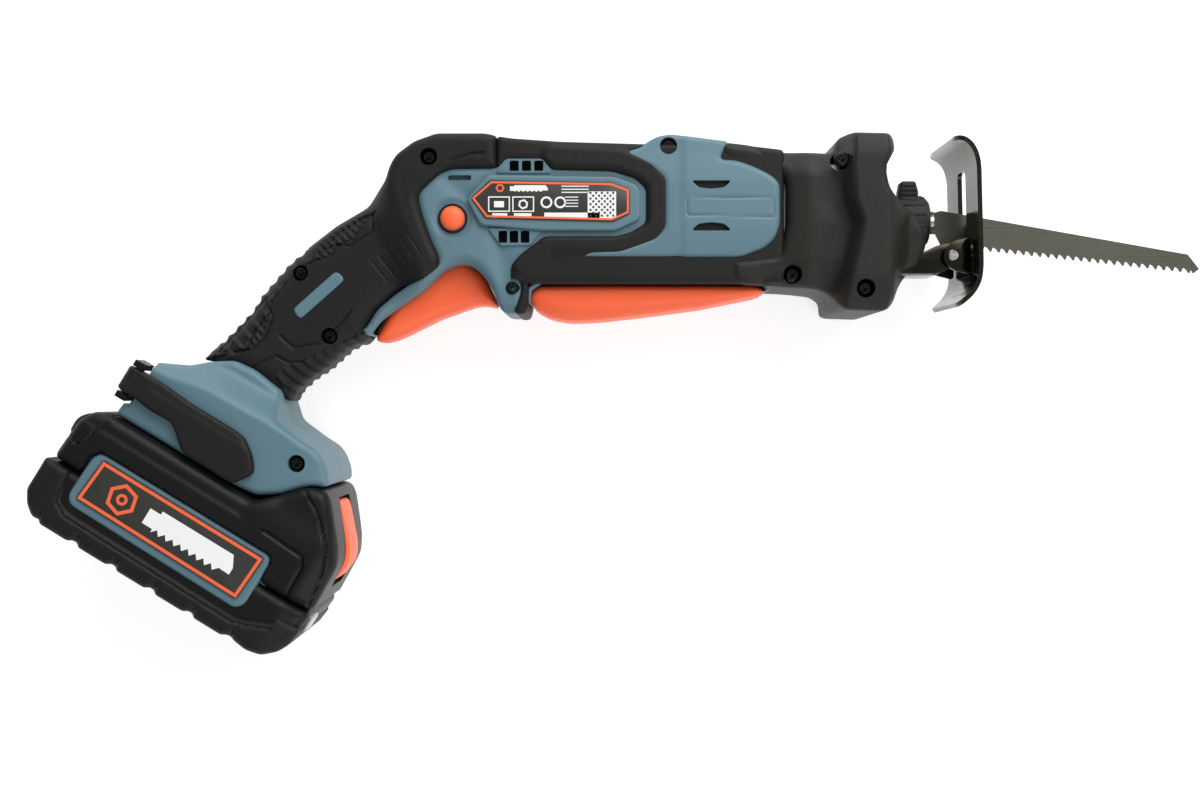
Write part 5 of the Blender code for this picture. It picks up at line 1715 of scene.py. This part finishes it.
# shoe, bracket and pin
# a strip bent along a path in x and y, its width across z
def bentPlate(name, path, half, thick, skin, corner=6.0):
    path = np.asarray(path, float)
    steps = np.concatenate([[0], np.cumsum(np.linalg.norm(np.diff(path, axis=0), axis=1))])
    where = np.linspace(0, steps[-1], 56)
    line = np.column_stack([np.interp(where, steps, path[:, k]) for k in (0, 1)])
    for _ in range(3):
        line[1:-1] = (line[:-2] + 2 * line[1:-1] + line[2:]) / 4
    way = np.gradient(line, axis=0)
    side = np.column_stack([way[:, 1], -way[:, 0]]) / np.linalg.norm(way, axis=1)[:, None]
    reach = np.minimum(where, where[-1] - where)
    wide = half - corner + corner * np.sqrt(np.clip(1 - (1 - np.clip(reach / corner, 0, 1)) ** 2, 0, 1))
    wide[[0, -1]] = half - corner
    verts, rings = [], []
    across = 10
    for k in range(len(line)):
        zs = np.linspace(-wide[k], wide[k], across)
        ring = [world(*(line[k]), z) for z in zs] + [
            world(*(line[k] - side[k] * thick), z)
            for z in zs[::-1]
        ]
        rings.append(list(range(len(verts), len(verts) + len(ring))))
        verts += ring
    faces = [rings[0][::-1], rings[-1]]
    for first, second in zip(rings, rings[1:]):
        for i in range(len(first)):
            j = (i + 1) % len(first)
            faces.append((first[i], first[j], second[j], second[i]))
    made = meshObject(name, verts, faces, skin)
    outward(made)
    return made


shoePivot = (151.5, 62.0)


def makeShoe():
    shoe = {"half": 27.0, "plate": 2.0}
    path = [
        (150.4, 110.2), (153.8, 109.8), (157.0, 106.6), (158.6, 102.0), (159.0, 98.5), (160.0, 57.0),
        (159.4, 51.0), (156.6, 46.0), (151.2, 41.2),
    ]
    plate = bentPlate("workShoe", path, shoe["half"], shoe["plate"], skins["nickel"], 4.0)
    extras = []
    for side in (1, -1):
        ear = [(159.2, 54), (159.2, 70), (152, 68.5), (147.5, 64.5), (147.5, 59.5), (151, 56)]
        low, high = sorted((side * 14.2, side * 16.6))
        extras.append(slabPiece("ear", evenLoop(ear, 2, 0.6), low, high, skins["nickel"], 0.4))
    carve(plate, extras, "UNION")
    slot = slabPiece("cutter", evenLoop(boxLoop(-7, 60, 7, 100), 3, 0.8), -3, 3, skins["nickel"], 0)
    standUp(slot, world(158.5, 0), 90, "Y")
    bore = bored(30, 2.85, *shoePivot)
    carve(plate, [slot, bore])
    settle(plate, "shoe", "black_nickel", "shoe")


def makeBracket():
    base = slabPiece("tongue", evenLoop(boxLoop(106.2, -10, 146, 10), 2, 1.0), 0, 3.2, skins["nickel"], 0.4)
    standUp(base, world(0, 54.2), -90, "X")
    outline = evenLoop(
        [(128, 54.4), (146, 54.4), (154.5, 58), (155.5, 64), (153, 68), (146, 67), (136, 62)], 2.5, 0.6,
    )
    arms = [slabPiece("arm", outline, low, low + 3.0, skins["nickel"], 0.4) for low in (9.9, -12.9)]
    carve(base, arms, "UNION")
    bore = bored(30, 2.8, *shoePivot)
    carve(base, [bore])
    base.name = "shoeBracket"
    settle(base, "tool", "black_nickel", "shoe_bracket")
    pin = turnedPiece(
        "shoePin", [(-18, 0), (-18, 2.0), (-17.5, 2.5), (17.5, 2.5), (18, 2.0), (18, 0)], skins["steel"],
        (*shoePivot, 0), (0, 0, 1), 32,
    )
    settle(pin, "tool", "steel", "shoe_pin")


makeShoe()
makeBracket()
print("shoe ready")


# blade, its clamp collar and the plunger
def makeBlade():
    saw = {
        "half": 0.6, "set": 0.28, "teeth": 26, "first": 166.0, "line": 65.8, "fall": 0.107, "gullet": 2.0,
    }
    tip = bladeReach["tip"]
    pitch = (tip - 3.0 - saw["first"]) / saw["teeth"]
    line, leans = [(134.0, 73.0), (147.5, 73.0), (150.0, 68.0)], [0, 0, 0]
    for k in range(saw["teeth"]):
        x = saw["first"] + pitch * k
        y = saw["line"] - saw["fall"] * (x - saw["first"])
        lean = (-1, 0, 1)[k % 3] * saw["set"]
        line += [
            (x, y + saw["gullet"]), (x + 0.25 * pitch, y + saw["gullet"] * 0.72),
            (x + 0.62 * pitch, y - 0.08 * pitch), (x + 0.72 * pitch, y + 0.1),
            (x + 0.86 * pitch, y + saw["gullet"] * 0.8),
        ]
        leans += [0, 0.2 * lean, lean, lean, 0.1 * lean]
    line += [(tip - 2.5, 55.7), (tip, 57.6), (258.5, 64.0), (150.0, 83.2), (147.5, 82.5), (134.0, 82.5)]
    leans += [0] * 6
    count = len(line)
    verts = []
    for side in (-1, 1):
        for (x, y), lean in zip(line, leans):
            z = min(max(side * saw["half"] + lean, -saw["half"]), saw["half"])
            verts.append(world(x, y, z))
    faces = [list(range(count)), list(range(count, 2 * count))[::-1]]
    faces += [(i, i + count, (i + 1) % count + count, (i + 1) % count) for i in range(count)]
    made = meshObject("sawBlade", verts, faces, skins["blade"], 30)
    outward(made)
    settle(made, "plunger", "blade_steel", "blade")


def makeCollar():
    collar = {"rear": 129.5, "front": 143.5, "ribs": 14, "ribReach": 10.9}
    rear, front = collar["rear"], collar["front"]
    profile = [
        (rear, 6.4), (rear, 9.6), (rear + 1.2, 11.0), (front - 1.8, 11.3), (front, 9.4), (front, 6.4),
    ]
    ribProfile = [(131.2, 0), (131.2, 0.6), (131.8, 0.9), (141.0, 0.9), (141.6, 0.6), (141.6, 0)]
    body = turnedPiece("clampCollar", profile, skins["boot"], (0, axisY, 0), (1, 0, 0), 56)
    ribs = []
    for k in range(collar["ribs"]):
        angle = 2 * math.pi * k / collar["ribs"]
        reach = collar["ribReach"]
        spot = Vector((0, axisY + reach * math.cos(angle), reach * math.sin(angle)))
        ribs.append(turnedPiece("rib", ribProfile, skins["boot"], spot, (1, 0, 0), 12))
    heel, waist, crown = axisY + 8, axisY + 13, axisY + 17.8
    grip = [(131.6, heel), (138.8, heel), (139.4, waist), (138.0, crown), (131.9, crown), (131.0, waist)]
    tab = slabPiece("tab", evenLoop(grip, 1.0, 0.5), -4.2, 4.2, skins["boot"], 0.8)
    grooves = [
        slabPiece("cutter", boxLoop(129, y - 0.35, 141, y + 0.35), 3.6, 6, skins["boot"], 0)
        for y in (axisY + 11.5, axisY + 13.5, axisY + 15.5)
    ]
    carve(tab, grooves)
    carve(body, ribs + [tab], "UNION")
    settle(body, "clamp_lever", "black_plastic", "blade_clamp_lever")
    rod = turnedPiece(
        "plungerRod", [(94.2, 0), (94.2, 6.0), (140.5, 6.0), (142.0, 5.0), (146.0, 5.0), (146.0, 0)],
        skins["steel"], (0, axisY, 0), (1, 0, 0), 48,
    )
    slot = slabPiece("cutter", boxLoop(133, axisY - 7, 150, axisY + 7), -0.9, 0.9, skins["steel"], 0)
    yoke = slabPiece("yoke", boxLoop(82.8, 59.5, 95.2, 96.5), -5.9, -0.5, skins["steel"], 0.5)
    carve(rod, [yoke], "UNION")
    gate = slabPiece("cutter", boxLoop(84.65, 62, 93.35, 94), -14, 6, skins["steel"], 0)
    carve(rod, [slot, gate])
    settle(rod, "plunger", "steel", "plunger")


def makeLamp():
    lens = turnedPiece(
        "lampLens", [(114, 0), (114, 2.3), (120.6, 2.3), (121.6, 1.9), (122.3, 0.9), (122.3, 0)],
        skins["lens"], (0, 99, 20), (1, 0, 0), 32,
    )
    settle(lens, "tool", "clear_lens", "led_lens")


makeBlade()
makeCollar()
makeLamp()
print("blade ready")


# screws
def makeScrews():
    spots = {
        "screw_nose_top": (101.0, 100.5, 33.5), "screw_nose_rear": (81.5, 53.2, 23.5),
        "screw_nose_front": (110.5, 46.5, 33.5),
        "screw_body_rear": (-72.5, 103.0, 22.6), "screw_post": (-37.0, 47.5, 23.0),
        "screw_body_front": (29.0, 107.5, 23.6),
        "screw_grip_rear": (-128.5, 54.5, 13.8), "screw_grip_front": (-116.0, 27.5, 14.6),
        "screw_foot": (*inPack([(25.5, -22.0)])[0], 29.5),
    }
    for node, (x, y, top) in spots.items():
        head = onPoints(
            node.replace("screw_", "screwHead_"), screwHeads, [world(x, y, top)], 30,
            Head_Radius=3.2 * mm, Head_Depth=2.4 * mm, Recess_Radius=1.75 * mm, Recess_Depth=1.5 * mm,
            Skin=skins["screwSteel"],
        )
        settle(head, "tool", "steel", node)


makeScrews()
print("screws ready")


# CAD nodes that keep their shape get their finishes
def finishKeptNodes():
    kept = {
        "steel": ["rear_bearing", "front_bearing", "crank_gear", "trigger_spring"],
        "screwSteel": ["hook_bracket"],
        "alloy": ["gear_case_right", "gear_case_left"],
        "bronze": ["front_bushing"], "copper": ["motor_rotor"],
        "wrap": ["cell_row_upper", "cell_row_lower"],
        "board": ["controller_board", "pack_board"], "redWire": ["power_lead_red"],
        "rubber": ["power_lead_black"],
        "black": ["trigger_switch", "terminal_block"],
    }
    for skin, nodes in kept.items():
        for node in nodes:
            for slot in frame["nodes"][node].material_slots:
                slot.material = skins[skin]


finishKeptNodes()
